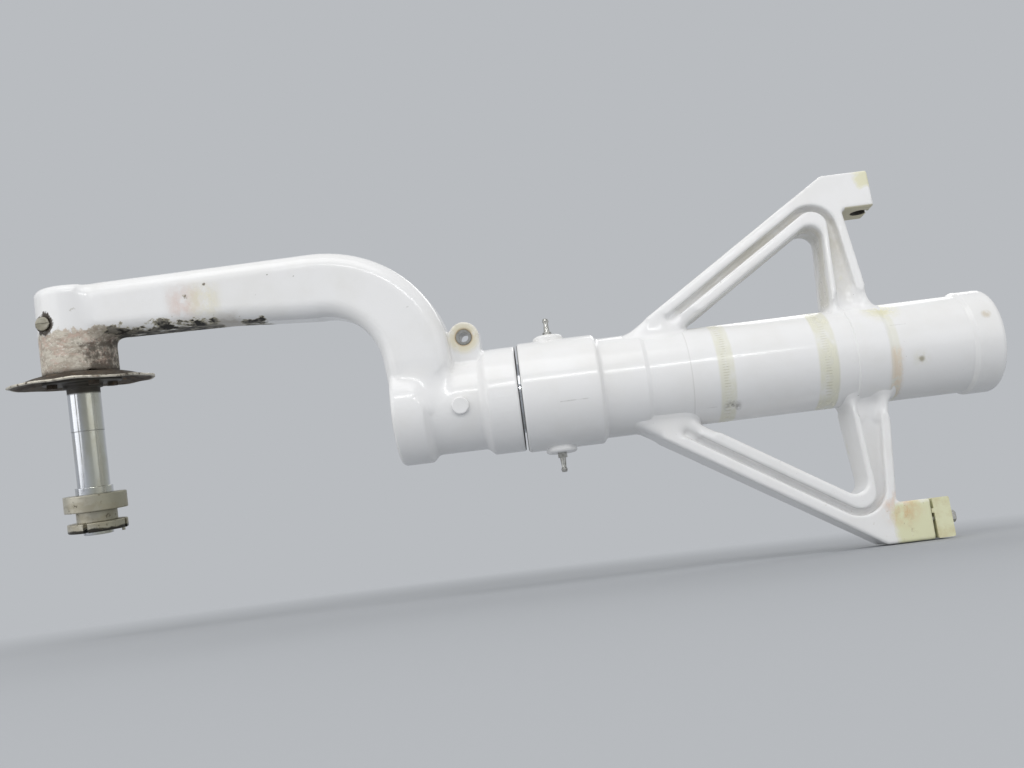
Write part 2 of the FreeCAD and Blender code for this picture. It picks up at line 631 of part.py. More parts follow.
def drill_lug(frame):
    for place in keeper_screw_places():
        frame = frame.cut(rod(KEEPER_SCREW_R + SEAT, Vec(KEEPER_X - KEEPER_SCREW_REACH - 1, 0, 0) + place,
                              Vec(KEEPER_X + 1, 0, 0) + place))
    return frame


# --- piston -----------------------------------------------------------------------------------
def make_piston_tube():
    top_step = GUIDE_X - SEAT
    body = turned([
        (PISTON_END_X, PISTON_BORE_R, 0), (PISTON_END_X, PISTON_R, 1.0), (top_step, PISTON_R, 0),
        (top_step, GUIDE_SEAT_R, 0), (PISTON_TOP, GUIDE_SEAT_R, 0.8), (PISTON_TOP, PISTON_BORE_R, 0)])
    groove_x = GUIDE_X + GUIDE_LENGTH + FREE
    body = body.cut(ring(groove_x, groove_x + SNAP_WIRE + 2 * SEAT, PISTON_R + 2,
                         GUIDE_SEAT_R - SNAP_DEPTH / 2))
    return body.cut(rod(CROSS_PIN_R + SEAT, Vec(CROSS_PIN_X, -PISTON_R - 2, 0), Vec(CROSS_PIN_X, PISTON_R + 2, 0)))


def make_guide():
    """Upper bearing that slides in the barrel, drilled for the oil that passes it."""
    bore = GUIDE_SEAT_R + RUN
    body = ring(GUIDE_X, GUIDE_X + GUIDE_LENGTH, GUIDE_R, bore)
    body = body.cut(ring(WEAR_X - SEAT, WEAR_X + WEAR_WIDTH + SEAT, GUIDE_R + 1, GUIDE_R - WEAR_DEPTH - SEAT))
    pitch = (bore + GUIDE_R - WEAR_DEPTH) / 2
    hole = rod(GUIDE_HOLE_R / 2, Vec(GUIDE_X - 1, 0, pitch), Vec(GUIDE_X + GUIDE_LENGTH + 1, 0, pitch))
    for copy in around(hole, GUIDE_HOLES, ORIGIN, AXIS_X):
        body = body.cut(copy)
    return body


def make_wear_band():
    """Split band in the guide's groove that rubs on the bore."""
    band = ring(WEAR_X, WEAR_X + WEAR_WIDTH, GUIDE_R, GUIDE_R - WEAR_DEPTH)
    return band.cut(Part.makeBox(WEAR_WIDTH + 2, 2.0, 2 * BORE_R, Vec(WEAR_X - 1, -1.0, 0)))


def make_plug():
    """Plug that closes the piston's lower end and holds the metering pin."""
    body = turned([
        (PLUG_END_X, 0, 0), (PLUG_END_X, PISTON_BORE_R - SEAT, 1.0),
        (PLUG_TOP_X, PISTON_BORE_R - SEAT, 1.0), (PLUG_TOP_X, 0, 0)])
    body = body.cut(ring(PLUG_SEAL_X - SEAL_WIRE * 0.65, PLUG_SEAL_X + SEAL_WIRE * 0.65,
                         PISTON_BORE_R + 1, PISTON_BORE_R - SEAL_WIRE - GROOVE_FREE))
    body = body.cut(rod(METER_R + SEAT, Vec(PLUG_TOP_X - METER_THREAD, 0, 0), Vec(PLUG_TOP_X + 1, 0, 0)))
    return body.cut(rod(CROSS_PIN_R + SEAT, Vec(CROSS_PIN_X, -PISTON_R, 0), Vec(CROSS_PIN_X, PISTON_R, 0)))


def make_metering_pin():
    """Tapered pin that stands on the plug and meters oil through the orifice plate."""
    low = PLUG_TOP_X - METER_THREAD + SEAT
    return turned([
        (low, 0, 0), (low, METER_R, 0), (PLUG_TOP_X + 24, METER_R, 0),
        (METER_TIP_X - 4, METER_TIP_R, 0), (METER_TIP_X, METER_TIP_R - 2, 0), (METER_TIP_X, 0, 0)])


# --- half fork --------------------------------------------------------------------------------
def arm_section(centre, along, height, width):
    """Rounded rectangle across the arm; width lies along Y."""
    up = AXIS_Y.cross(along)
    up.normalize()

    def place(a, b):
        return centre + AXIS_Y * a + up * b

    half_w, half_h = width / 2, height / 2
    corners = [(-half_w, -half_h, ARM_ROUND), (half_w, -half_h, ARM_ROUND),
               (half_w, half_h, ARM_ROUND), (-half_w, half_h, ARM_ROUND)]
    return outline(corners, place).OuterWire


def make_arm():
    """Goose-neck: a straight run from the hub, then a quarter bend down into the socket."""
    run = []
    for x, height, width in ((AXLE_X, ARM_HEIGHT_HUB, ARM_WIDTH_HUB), (ARM_MID_X, ARM_HEIGHT_MID, ARM_WIDTH_MID),
                             (BEND_X, ARM_HEIGHT_BEND, ARM_WIDTH_BEND)):
        run.append(arm_section(Vec(x, 0, ARM_TOP - height / 2), AXIS_X, height, width))
    run = Part.makeLoft(run, True, True)
    sections = []
    steps = 6
    centre = Vec(BEND_X, 0, ARM_TOP - BEND_R)
    for k in range(steps + 1):
        turn = math.radians(90 * k / steps)
        outward = Vec(math.sin(turn), 0, math.cos(turn))
        along = Vec(math.cos(turn), 0, -math.sin(turn))
        flare = BEND_FLARE * math.sin(turn) ** 2
        height = between(ARM_HEIGHT_BEND, ARM_HEIGHT_SOCKET, k / steps) + flare
        sections.append(arm_section(centre + outward * (BEND_R + flare - height / 2), along, height,
                                    between(ARM_WIDTH_BEND, ARM_WIDTH_SOCKET, k / steps)))
    bend = Part.makeLoft(sections, True, False)
    foot_height = BEND_X + BEND_R + BEND_FLARE - SOCKET_END_X - SEAT
    foot = arm_section(Vec(SOCKET_END_X + SEAT + foot_height / 2, 0, 0), -AXIS_Z, foot_height, ARM_WIDTH_SOCKET)
    drop = Part.makeLoft([sections[-1], foot], True, True)
    return run.fuse(bend).fuse(drop)


def make_half_fork():
    waist_low = SOCKET_END_X + SOCKET_COLLAR_LENGTH
    waist_high = SOCKET_X - SOCKET_COLLAR_LENGTH
    slope = SOCKET_COLLAR_R - SOCKET_WAIST_R
    socket = turned([
        (SOCKET_END_X, 0, 0), (SOCKET_END_X, SOCKET_COLLAR_R, SOCKET_ROUND),
        (waist_low, SOCKET_COLLAR_R, 3.0), (waist_low + slope, SOCKET_WAIST_R, 3.0),
        (waist_high - slope, SOCKET_WAIST_R, 3.0), (waist_high, SOCKET_COLLAR_R, 3.0),
        (SOCKET_X, SOCKET_COLLAR_R, 1.5), (SOCKET_X, 0, 0)])
    hub = turned_on_axle([
        (0, HUB_LOW, 0), (HUB_R, HUB_LOW, 1.5), (HUB_R, HUB_TOP, HUB_ROUND), (0, HUB_TOP, 0)])
    ear = plate([
        (EAR_X - EAR_R, 0, 0), (EAR_X - EAR_R, EAR_Z + EAR_R, EAR_R * 0.98),
        (EAR_X + EAR_R, EAR_Z + EAR_R, EAR_R * 0.98), (EAR_X + EAR_R, 0, 0)], EAR_HALF)
    body = socket.fuse([make_arm(), hub, ear])
    body = body.fuse(rod(LOCK_FACE_R, Vec(LOCK_X, -LOCK_FACE_HALF, LOCK_Z), Vec(LOCK_X, LOCK_FACE_HALF, LOCK_Z)))
    for way in (-AXIS_Y, AXIS_Y):
        face = Vec(LOCK_X, 0, LOCK_Z) + way * LOCK_FACE_HALF
        body = body.cut(rod(LOCK_FACE_R, face, face + way * HUB_R))
    bore = rod(PISTON_R + SEAT, Vec(PISTON_END_X - SEAT, 0, 0), Vec(SOCKET_X + 1, 0, 0))
    pin_hole = rod(CROSS_PIN_R + SEAT, Vec(CROSS_PIN_X, -SOCKET_COLLAR_R, 0), Vec(CROSS_PIN_X, SOCKET_COLLAR_R, 0))
    ear_hole = rod(EAR_BUSH_R + SEAT, Vec(EAR_X, -EAR_HALF - 1, EAR_Z), Vec(EAR_X, EAR_HALF + 1, EAR_Z))
    shank = rod(SHANK_R + SEAT, Vec(AXLE_X, 0, HUB_LOW - 1), Vec(AXLE_X, 0, HUB_LOW + SHANK_LENGTH + SEAT))
    lock = rod(LOCK_R + SEAT, Vec(LOCK_X, -HUB_R, LOCK_Z), Vec(LOCK_X, HUB_R, LOCK_Z))
    for cutter in (bore, pin_hole, ear_hole, shank, lock):
        body = body.cut(cutter)
    for place in plate_bolt_places():
        body = body.cut(rod(PLATE_BOLT_R + SEAT, place + Vec(0, 0, HUB_LOW - 1),
                            place + Vec(0, 0, HUB_LOW + PLATE_BOLT_REACH + 1)))
    return body


def plate_bolt_places():
    first = math.pi / PLATE_BOLTS
    return [Vec(AXLE_X + PLATE_BOLT_PITCH_R * math.cos(first + 2 * math.pi * k / PLATE_BOLTS),
                PLATE_BOLT_PITCH_R * math.sin(first + 2 * math.pi * k / PLATE_BOLTS), 0)
            for k in range(PLATE_BOLTS)]


def make_ear_bush():
    bush = rod(EAR_BUSH_R, Vec(EAR_X, -EAR_HALF - 0.6, EAR_Z), Vec(EAR_X, EAR_HALF + 0.6, EAR_Z))
    return bush.cut(rod(EAR_HOLE_R, Vec(EAR_X, -EAR_HALF - 2, EAR_Z), Vec(EAR_X, EAR_HALF + 2, EAR_Z)))


def make_cross_pin():
    """Pin that locks the piston tube and its plug in the socket, with a low domed head each side."""
    pin = rod(CROSS_PIN_R, Vec(CROSS_PIN_X, -SOCKET_WAIST_R, 0), Vec(CROSS_PIN_X, SOCKET_WAIST_R, 0))
    seat = math.sqrt(SOCKET_WAIST_R ** 2 - CROSS_PIN_HEAD_R ** 2)
    for way in (-AXIS_Y, AXIS_Y):
        start = Vec(CROSS_PIN_X, 0, 0) + way * seat
        head = rod(CROSS_PIN_HEAD_R, start, start + way * (SOCKET_WAIST_R - seat + CROSS_PIN_HEAD))
        head = head.makeFillet(1.5, [max(head.Edges, key=lambda edge: edge.CenterOfMass.dot(way))])
        head = head.cut(rod(SOCKET_WAIST_R + SEAT, Vec(CROSS_PIN_X - 30, 0, 0), Vec(CROSS_PIN_X + 30, 0, 0)))
        pin = pin.fuse(head)
    return pin


# --- axle end ---------------------------------------------------------------------------------
def make_axle():
    shank_top = HUB_LOW + SHANK_LENGTH
    root_z = AXLE_FLANGE_Z - ROOT_LENGTH
    shoulder_low = SHOULDER_Z - SHOULDER_LENGTH
    body = turned_on_axle([
        (0, shank_top, 0), (SHANK_R, shank_top, 1.5), (SHANK_R, PLATE_Z, 0),
        (SHANK_R, AXLE_FLANGE_Z + AXLE_FLANGE, 0),
        (AXLE_FLANGE_R, AXLE_FLANGE_Z + AXLE_FLANGE, 0.8), (AXLE_FLANGE_R, AXLE_FLANGE_Z, 0.8),
        (ROOT_R, AXLE_FLANGE_Z, 2.0), (ROOT_R, root_z, 0.8), (AXLE_R, root_z, 0.5),
        (AXLE_R, AXLE_SEAT_Z, 0), (AXLE_OUTER_R, AXLE_SEAT_Z, 0), (AXLE_OUTER_R, SHOULDER_Z, 0),
        (SHOULDER_R, SHOULDER_Z, 0.8), (SHOULDER_R, shoulder_low, 0), (THREAD_R, shoulder_low, 0),
        (THREAD_R, AXLE_END_Z, 1.2), (0, AXLE_END_Z, 0)])
    body = body.cut(rod(AXLE_BORE_R, Vec(AXLE_X, 0, AXLE_END_Z - 1), Vec(AXLE_X, 0, shank_top - 10)))
    body = body.cut(rod(LOCK_R + SEAT, Vec(LOCK_X, -HUB_R, LOCK_Z), Vec(LOCK_X, HUB_R, LOCK_Z)))
    body = body.cut(rod(COTTER_R + SEAT, Vec(AXLE_X - NUT_R, 0, COTTER_Z), Vec(AXLE_X + NUT_R, 0, COTTER_Z)))
    for place in plate_bolt_places():
        body = body.cut(rod(PLATE_BOLT_R + SEAT, place + Vec(0, 0, AXLE_FLANGE_Z - 1),
                            place + Vec(0, 0, AXLE_FLANGE_Z + AXLE_FLANGE + 1)))
    return body.removeSplitter()


def make_brake_plate():
    """Thin dished disc between the hub and the axle's flange, with a flat rim."""
    inner = SHANK_R + SEAT
    flat = AXLE_FLANGE_R + 3
    rim = PLATE_R - PLATE_RIM
    top = PLATE_Z + PLATE_THICK
    body = turned_on_axle([
        (inner, PLATE_Z, 0), (inner, top, 0), (flat, top, 4.0), (rim, top - PLATE_DISH, 4.0),
        (PLATE_R, top - PLATE_DISH, 0.8), (PLATE_R, PLATE_Z - PLATE_DISH, 0.8),
        (rim, PLATE_Z - PLATE_DISH, 4.0), (flat, PLATE_Z, 4.0)])
    for place in plate_bolt_places():
        body = body.cut(rod(PLATE_BOLT_R + SEAT, place + Vec(0, 0, PLATE_Z - 1), place + Vec(0, 0, top + 1)))
    return body


def make_plate_bolts():
    bolts = []
    under = AXLE_FLANGE_Z - SEAT
    for place in plate_bolt_places():
        shank = rod(PLATE_BOLT_R, place + Vec(0, 0, under - 0.5), place + Vec(0, 0, HUB_LOW + PLATE_BOLT_REACH))
        head = hexagon(3.2 * PLATE_BOLT_R, PLATE_BOLT_HEAD, place + Vec(0, 0, under), -AXIS_Z)
        bolts.append(shank.fuse(head))
    return bolts


def make_lock_bolt():
    """Bolt across the hub that passes through the side of the axle's shank."""
    seat = LOCK_FACE_HALF + SEAT
    shank = rod(LOCK_R, Vec(LOCK_X, -seat - 0.5, LOCK_Z), Vec(LOCK_X, seat + 7.5, LOCK_Z))
    head = rod(LOCK_HEAD_R, Vec(LOCK_X, -seat, LOCK_Z), Vec(LOCK_X, -seat - 3.2, LOCK_Z))
    head = head.makeFillet(1.0, [min(head.Edges, key=lambda edge: edge.CenterOfMass.y)])
    slot = Part.makeBox(2 * LOCK_HEAD_R + 2, 1.4, 1.6,
                        Vec(LOCK_X - LOCK_HEAD_R - 1, -seat - 3.4, LOCK_Z - 0.8))
    return shank.fuse(head).cut(slot)


def make_lock_nut():
    seat = LOCK_FACE_HALF + SEAT
    nut = hexagon(1.7 * LOCK_R + 6, 5.5, Vec(LOCK_X, seat, LOCK_Z), AXIS_Y)
    return nut.cut(rod(LOCK_R + SEAT, Vec(LOCK_X, seat - 1, LOCK_Z), Vec(LOCK_X, seat + 8, LOCK_Z)))


def make_spacer():
    """Loose collar between the axle's shoulder and the washer; it turns on the axle."""
    low = SPACER_TOP_Z - SPACER_LENGTH
    return turned_on_axle([
        (THREAD_R + RUN, low, 0), (THREAD_R + RUN, SPACER_TOP_Z, 0), (SPACER_R, SPACER_TOP_Z, 1.0),
        (SPACER_R, low, 1.0)])


def make_washer():
    low = WASHER_TOP_Z - WASHER_LENGTH
    return turned_on_axle([
        (THREAD_R + SEAT, low, 0), (THREAD_R + SEAT, WASHER_TOP_Z, 0), (WASHER_R, WASHER_TOP_Z, 0.6),
        (WASHER_R, low, 0.6)])


def make_axle_nut():
    """Round nut with slots for the cotter pin."""
    body = turned_on_axle([
        (THREAD_R + SEAT, NUT_LOW_Z, 0), (THREAD_R + SEAT, NUT_TOP_Z, 0), (NUT_R, NUT_TOP_Z, 1.0),
        (NUT_R, NUT_LOW_Z, 1.6)])
    slot = Part.makeBox(NUT_SLOT_DEPTH + 5, NUT_SLOT, NUT_LENGTH + 2,
                        Vec(AXLE_X + NUT_R - NUT_SLOT_DEPTH, -NUT_SLOT / 2, NUT_LOW_Z - 1))
    through = Part.makeBox(NUT_R + 5, NUT_SLOT, COTTER_Z - NUT_LOW_Z + COTTER_R + 1.5,
                           Vec(AXLE_X, -NUT_SLOT / 2, NUT_LOW_Z - 1))
    for cutter in (slot, through):
        for copy in around(cutter, NUT_SLOTS, Vec(AXLE_X, 0, 0), AXIS_Z):
            body = body.cut(copy)
    return body


def make_cotter():
    """Cotter pin through the axle, its eye on one side and its legs bent down on the other."""
    reach = NUT_R - 3
    shank = rod(COTTER_R, Vec(AXLE_X - reach, 0, COTTER_Z), Vec(AXLE_X + reach, 0, COTTER_Z))
    legs = rod(COTTER_R, Vec(AXLE_X + reach, 0, COTTER_Z), Vec(AXLE_X + reach, 0, AXLE_END_Z + 1))
    knee = Part.makeSphere(COTTER_R, Vec(AXLE_X + reach, 0, COTTER_Z))
    eye = Part.makeTorus(2.6, COTTER_R * 0.8, Vec(AXLE_X - reach - 2.2, 0, COTTER_Z), AXIS_Y)
    return shank.fuse([legs, knee, eye])


# --- build ------------------------------------------------------------------------------------
def main():
    os.makedirs("parts", exist_ok=True)
    export("cylinder_barrel", make_barrel())
    export("lower_bearing", make_lower_bearing())
    seal, backups, outer_seal, wiper = make_gland_seals()
    export("piston_seal", seal)
    export("backup_rings", *backups)
    export("bearing_seal", outer_seal)
    export("wiper_ring", wiper)
    export("gland_snap_ring", snap_ring(GLAND_SNAP_X, GLAND_R + SNAP_DEPTH - SEAT, PISTON_R + 1.5, 8.0))
    export("extension_stop", ring(STOP_X, STOP_TOP_X, STOP_INNER_R + STOP_WALL, STOP_INNER_R))
    export("end_cap", make_end_cap())
    export("end_cap_seal", o_ring(CAP_SEAL_X, CAP_R - SEAL_WIRE / 2 - SEAT, SEAL_WIRE - 2 * SEAT))
    export("end_cap_snap_ring", snap_ring(CAP_OUT_X + 2 * SEAT, CAP_R + SNAP_DEPTH - SEAT, CAP_R - 4, 14.0))
    export("air_valve", make_valve())
    export("valve_cap", make_valve_cap())
    export("orifice_tube", make_orifice_tube())
    export("orifice_plate", make_orifice_plate())
    fitting = make_grease_fitting()
    export("grease_fittings", fitting, flipped(fitting))
    export("upper_trunnion_frame", make_frame(LUG_END))
    export("lower_trunnion_frame", flipped(drill_lug(make_frame(KEEPER_X))))
    export("trunnion_keeper", flipped(make_keeper()))
    export("keeper_screws", *[flipped(screw) for screw in make_keeper_screws()])
    export("upper_bearing", make_guide())
    export("wear_band", make_wear_band())
    export_fork("piston_tube", make_piston_tube())
    export_fork("piston_snap_ring", snap_ring(GUIDE_X + GUIDE_LENGTH + FREE + SEAT, PISTON_R + 2.4,
                                              GUIDE_SEAT_R - SNAP_DEPTH / 2 + SEAT, 8.0))
    export_fork("piston_plug", make_plug())
    export_fork("plug_seal", o_ring(PLUG_SEAL_X, PISTON_BORE_R - SEAL_WIRE / 2 - SEAT, SEAL_WIRE - 2 * SEAT))
    export_fork("metering_pin", make_metering_pin())
    export_fork("half_fork", make_half_fork())
    export_fork("ear_bush", make_ear_bush())
    export_fork("piston_cross_pin", make_cross_pin())
    export_fork("axle", make_axle())
    export_fork("brake_plate", make_brake_plate())
    export_fork("brake_plate_bolts", *make_plate_bolts())
    export_fork("axle_lock_bolt", make_lock_bolt())
    export_fork("axle_lock_nut", make_lock_nut())
    export_fork("wheel_spacer", make_spacer())
    export_fork("thrust_washer", make_washer())
    export_fork("axle_nut", make_axle_nut())
    export_fork("axle_cotter_pin", make_cotter())


main()
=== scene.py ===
import json
import math

import bmesh
import bpy
from mathutils import Matrix, Quaternion, Vector, noise


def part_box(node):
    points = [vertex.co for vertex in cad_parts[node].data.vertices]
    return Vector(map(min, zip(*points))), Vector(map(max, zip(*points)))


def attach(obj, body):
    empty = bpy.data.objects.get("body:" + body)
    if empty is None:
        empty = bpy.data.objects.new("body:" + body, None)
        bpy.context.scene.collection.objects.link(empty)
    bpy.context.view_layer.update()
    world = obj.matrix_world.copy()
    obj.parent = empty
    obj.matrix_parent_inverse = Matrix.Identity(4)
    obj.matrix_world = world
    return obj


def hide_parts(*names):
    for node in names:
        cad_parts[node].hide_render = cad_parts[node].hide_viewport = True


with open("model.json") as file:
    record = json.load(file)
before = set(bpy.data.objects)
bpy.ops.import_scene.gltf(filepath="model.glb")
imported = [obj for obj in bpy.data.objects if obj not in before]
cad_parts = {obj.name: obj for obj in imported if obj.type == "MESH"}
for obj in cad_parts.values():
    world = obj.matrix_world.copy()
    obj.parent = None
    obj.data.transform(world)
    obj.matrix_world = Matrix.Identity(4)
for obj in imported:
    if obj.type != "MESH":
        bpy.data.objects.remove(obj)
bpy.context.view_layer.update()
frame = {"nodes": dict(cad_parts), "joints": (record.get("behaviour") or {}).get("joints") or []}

bl_info = {
    "name": "Landing gear strut",
    "version": (1, 0, 0),
    "blender": (4, 5, 0),
    "location": "View3D > Sidebar > Strut",
    "description": "Dresses an oleo landing gear strut over its CAD frame",
    "category": "Object",
}

# Metres, in the CAD frame: the barrel along X, the trunnion axis along Z, the fork at -X.
# The fork's own pieces stand turned round the barrel's axis, so their patterns and shapes are
# worked out in fork coordinates, which are turned back by the same angle.
SPIN = next(joint for joint in frame["joints"] if joint["name"] == "spacer_spin")
FORK_TURN = math.atan2(-SPIN["axis"][1], SPIN["axis"][2])
AXLE_X = SPIN["pos_m"][0]
TO_FORK = Matrix.Rotation(-FORK_TURN, 4, "X")
BARREL_FACE_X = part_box("cylinder_barrel")[0].x
FORK_FACE_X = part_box("half_fork")[1].x
EAR_X = (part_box("ear_bush")[0].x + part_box("ear_bush")[1].x) / 2
LUG_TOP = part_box("upper_trunnion_frame")[1].z
FLOOR_Z = -LUG_TOP - 0.001          # a millimetre under the lower lug
MERGE = 1e-6
TURN_STEPS = 180                    # facets round a turned piece
HOLLOW_ANGLE = math.radians(-7)     # an edge folded in further than this is an inside corner

# The barrel's outer radius up to each station along X, as the frames' feet meet it
BARREL_STEPS = ((-0.2475, 0.0502), (-0.0405, 0.0485), (-0.0105, 0.0496), (1.0, 0.0485))
# Stretches of the barrel's wall, from station to station, that the frames' feet grow out of
FOOT_BANDS = ((-0.2740, -0.2480), (-0.2480, -0.1900), (-0.0600, -0.0410), (-0.0410, -0.0105),
              (-0.0105, 0.0060))
BAND_THICK = 0.0026
BAND_PROUD = 0.0001                 # how far a band stands out of the barrel while it is joined
SINK = 0.0009                       # how far its bare stretches then go under the barrel's surface
BAND_CUT = 0.0330                   # height over the barrel's axis where a band is cut off
FOOT_REACH = 0.062                  # fillets at the feet end at this distance from that axis


# --- meshes -----------------------------------------------------------------------------------
def cad_copy(node, name):
    """Merged copy of a CAD node's mesh as a new object."""
    shape = bmesh.new()
    shape.from_mesh(frame["nodes"][node].data)
    bmesh.ops.remove_doubles(shape, verts=shape.verts, dist=MERGE)
    return new_piece(name, shape)


def new_piece(name, shape):
    """Object from a bmesh, smooth shaded and linked to the scene."""
    for face in shape.faces:
        face.smooth = True
    mesh = bpy.data.meshes.new(name)
    shape.to_mesh(mesh)
    shape.free()
    piece = bpy.data.objects.new(name, mesh)
    bpy.context.scene.collection.objects.link(piece)
    return piece


def place_piece(piece, body, material, stands_for):
    """Gives a piece its body, its material and the CAD nodes that it stands for."""
    piece.data.materials.clear()
    piece.data.materials.append(material)
    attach(piece, body)
    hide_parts(*stands_for)


def settle(piece):
    """Turns a piece's modifiers into its mesh."""
    seen = piece.evaluated_get(bpy.context.evaluated_depsgraph_get())
    mesh = bpy.data.meshes.new_from_object(seen)
    piece.modifiers.clear()
    piece.data = mesh


def remesh(piece, voxel):
    """Makes a piece's shells one even skin."""
    skin = piece.modifiers.new("skin", "REMESH")
    skin.mode = "VOXEL"
    skin.voxel_size = voxel
    skin.use_smooth_shade = True
    settle(piece)


def turned_profile(shape, profile, centre, axis):
    """Spins a closed profile of points round an axis, all the way round."""
    verts = [shape.verts.new(point) for point in profile]
    edges = [shape.edges.new((verts[k - 1], verts[k])) for k in range(len(verts))]
    bmesh.ops.spin(shape, geom=verts + edges, cent=centre, axis=axis, angle=math.tau,
                   steps=TURN_STEPS, use_merge=True, use_normal_flip=False)
    bmesh.ops.remove_doubles(shape, verts=shape.verts, dist=MERGE)
    bmesh.ops.recalc_face_normals(shape, faces=shape.faces)


def fill_inside_corners(piece, rings, passes, wanted):
    """Rounds the inside corners of an even skin where wanted says so of a place in fork
    coordinates: the skin's points near a hollow edge are smoothed, and the points further off stay
    where they are."""
    shape = bmesh.new()
    shape.from_mesh(piece.data)
    picked = set()
    for edge in shape.edges:
        if len(edge.link_faces) == 2 and edge.calc_face_angle_signed(0) < HOLLOW_ANGLE:
            middle = TO_FORK @ ((edge.verts[0].co + edge.verts[1].co) / 2)
            if wanted(middle):
                picked.update(edge.verts)
    for _ in range(rings):
        picked.update([edge.other_vert(vert) for vert in picked for edge in vert.link_edges])
    for _ in range(passes):
        bmesh.ops.smooth_vert(shape, verts=list(picked), factor=0.5,
                              use_axis_x=True, use_axis_y=True, use_axis_z=True)
    shape.to_mesh(piece.data)
    shape.free()


# --- materials --------------------------------------------------------------------------------
def linear(code):
    """sRGB hex colour as linear red, green, blue and alpha."""
    parts = [int(code[k:k + 2], 16) / 255 for k in (1, 3, 5)]
    return (*[part / 12.92 if part <= 0.04045 else ((part + 0.055) / 1.055) ** 2.4
              for part in parts], 1.0)


def add_node(tree, kind, inputs=None, **settings):
    """Adds a node with its settings, and its inputs as values or links."""
    made = tree.nodes.new(kind)
    for key, value in settings.items():
        setattr(made, key, value)
    for key, value in (inputs or {}).items():
        if isinstance(value, bpy.types.NodeSocket):
            tree.links.new(value, made.inputs[key])
        else:
            made.inputs[key].default_value = value
    return made


class Finish:
    """A material that is laid on coat by coat, each over the last by its own mask."""

    def __init__(self, name, colour, roughness, **sockets):
        self.material = bpy.data.materials.new(name)
        self.material.use_nodes = True
        self.tree = self.material.node_tree
        self.tree.nodes.clear()
        self.shader = self.add("ShaderNodeBsdfPrincipled", sockets)
        self.output = self.add("ShaderNodeOutputMaterial", {"Surface": self.shader.outputs[0]})
        self.place = self.add("ShaderNodeTexCoord").outputs["Object"]
        self.colour = linear(colour) if isinstance(colour, str) else colour
        self.roughness = roughness
        self.normal = None

    def add(self, kind, inputs=None, **settings):
        """Adds a node to this material."""
        return add_node(self.tree, kind, inputs, **settings)

    def turn_to_fork(self):
        """Reads the patterns in fork coordinates from here on."""
        self.place = self.add("ShaderNodeMapping", {
            "Vector": self.place, "Rotation": (-FORK_TURN, 0, 0)}).outputs[0]

    def inside(self, soft, **limits):
        """Mask of a box with soft sides; limits gives (low, high) for any of x, y and z."""
        axes = self.add("ShaderNodeSeparateXYZ", {0: self.place}).outputs
        mask = None
        for axis, (low, high) in limits.items():
            for edge, way in ((low, 1), (high, -1)):
                if edge is None:
                    continue
                side = self.add("ShaderNodeMapRange", {
                    "Value": axes[axis.upper()],
                    "From Min": edge - way * soft, "From Max": edge + way * soft},
                    interpolation_type="SMOOTHSTEP").outputs[0]
                mask = side if mask is None else self.times(mask, side)
        return mask

    def near(self, centre, reach, soft):
        """Mask of a ball with a soft edge."""
        away = self.add("ShaderNodeVectorMath", {0: self.place, 1: centre},
                        operation="DISTANCE").outputs["Value"]
        return self.add("ShaderNodeMapRange", {
            "Value": away, "From Min": reach + soft, "From Max": reach - soft},
            interpolation_type="SMOOTHSTEP").outputs[0]

    def rise(self, keep, low, high, centre=(0, 0, 0)):
        """Mask that goes from 0 at the radius low to 1 at the radius high, round a line through
        centre. keep is 1 for the two axes across the line."""
        away = self.add("ShaderNodeVectorMath", {0: self.place, 1: centre},
                        operation="SUBTRACT").outputs[0]
        across = self.add("ShaderNodeVectorMath", {0: away, 1: keep},
                          operation="MULTIPLY").outputs[0]
        radius = self.add("ShaderNodeVectorMath", {0: across}, operation="LENGTH").outputs["Value"]
        return self.add("ShaderNodeMapRange", {
            "Value": radius, "From Min": low, "From Max": high}).outputs[0]

    def mottle(self, size, stretch=(1, 1, 1), detail=4.0, rough=0.6, shift=0.0):
        """Cloudy pattern whose largest features are size metres across, longer where stretch is
        over 1."""
        where = self.add("ShaderNodeMapping", {
            "Vector": self.place, "Location": (shift, shift, shift),
            "Scale": tuple(1 / (size * part) for part in stretch)}).outputs[0]
        return self.add("ShaderNodeTexNoise", {
            "Vector": where, "Scale": 1.0, "Detail": detail, "Roughness": rough}).outputs[0]

    def patches(self, cover, pattern, level, edge):
        """Mask of the places where a pattern, raised by cover if there is one, passes level."""
        if cover is not None:
            pattern = self.add("ShaderNodeMath", {0: pattern, 1: cover}, operation="ADD").outputs[0]
        return self.add("ShaderNodeMapRange", {
            "Value": pattern, "From Min": level - edge, "From Max": level + edge}).outputs[0]

    def times(self, *parts):
        """Product of masks and numbers."""
        total = parts[0]
        for part in parts[1:]:
            total = self.add("ShaderNodeMath", {0: total, 1: part},
                             operation="MULTIPLY").outputs[0]
        return total

    def lay(self, mask, colour, roughness):
        """Lays a coat over what is there, where its mask is."""
        over = colour if isinstance(colour, bpy.types.NodeSocket) else linear(colour)
        self.colour = self.add("ShaderNodeMix", {0: mask, 6: self.colour, 7: over},
                               data_type="RGBA").outputs[2]
        self.roughness = self.add("ShaderNodeMix", {
            0: mask, 2: self.roughness, 3: roughness}).outputs[0]

    def relief(self, height, depth):
        """Raises the surface by depth metres where height is 1."""
        inputs = {"Height": height, "Distance": depth}
        if self.normal is not None:
            inputs["Normal"] = self.normal
        self.normal = self.add("ShaderNodeBump", inputs).outputs[0]

    def close(self):
        """Puts the coats on the shader and gives the material."""
        for socket, value in (("Base Color", self.colour), ("Roughness", self.roughness),
                              ("Normal", self.normal)):
            if isinstance(value, bpy.types.NodeSocket):
                self.tree.links.new(value, self.shader.inputs[socket])
            elif value is not None:
                self.shader.inputs[socket].default_value = value
        return self.material


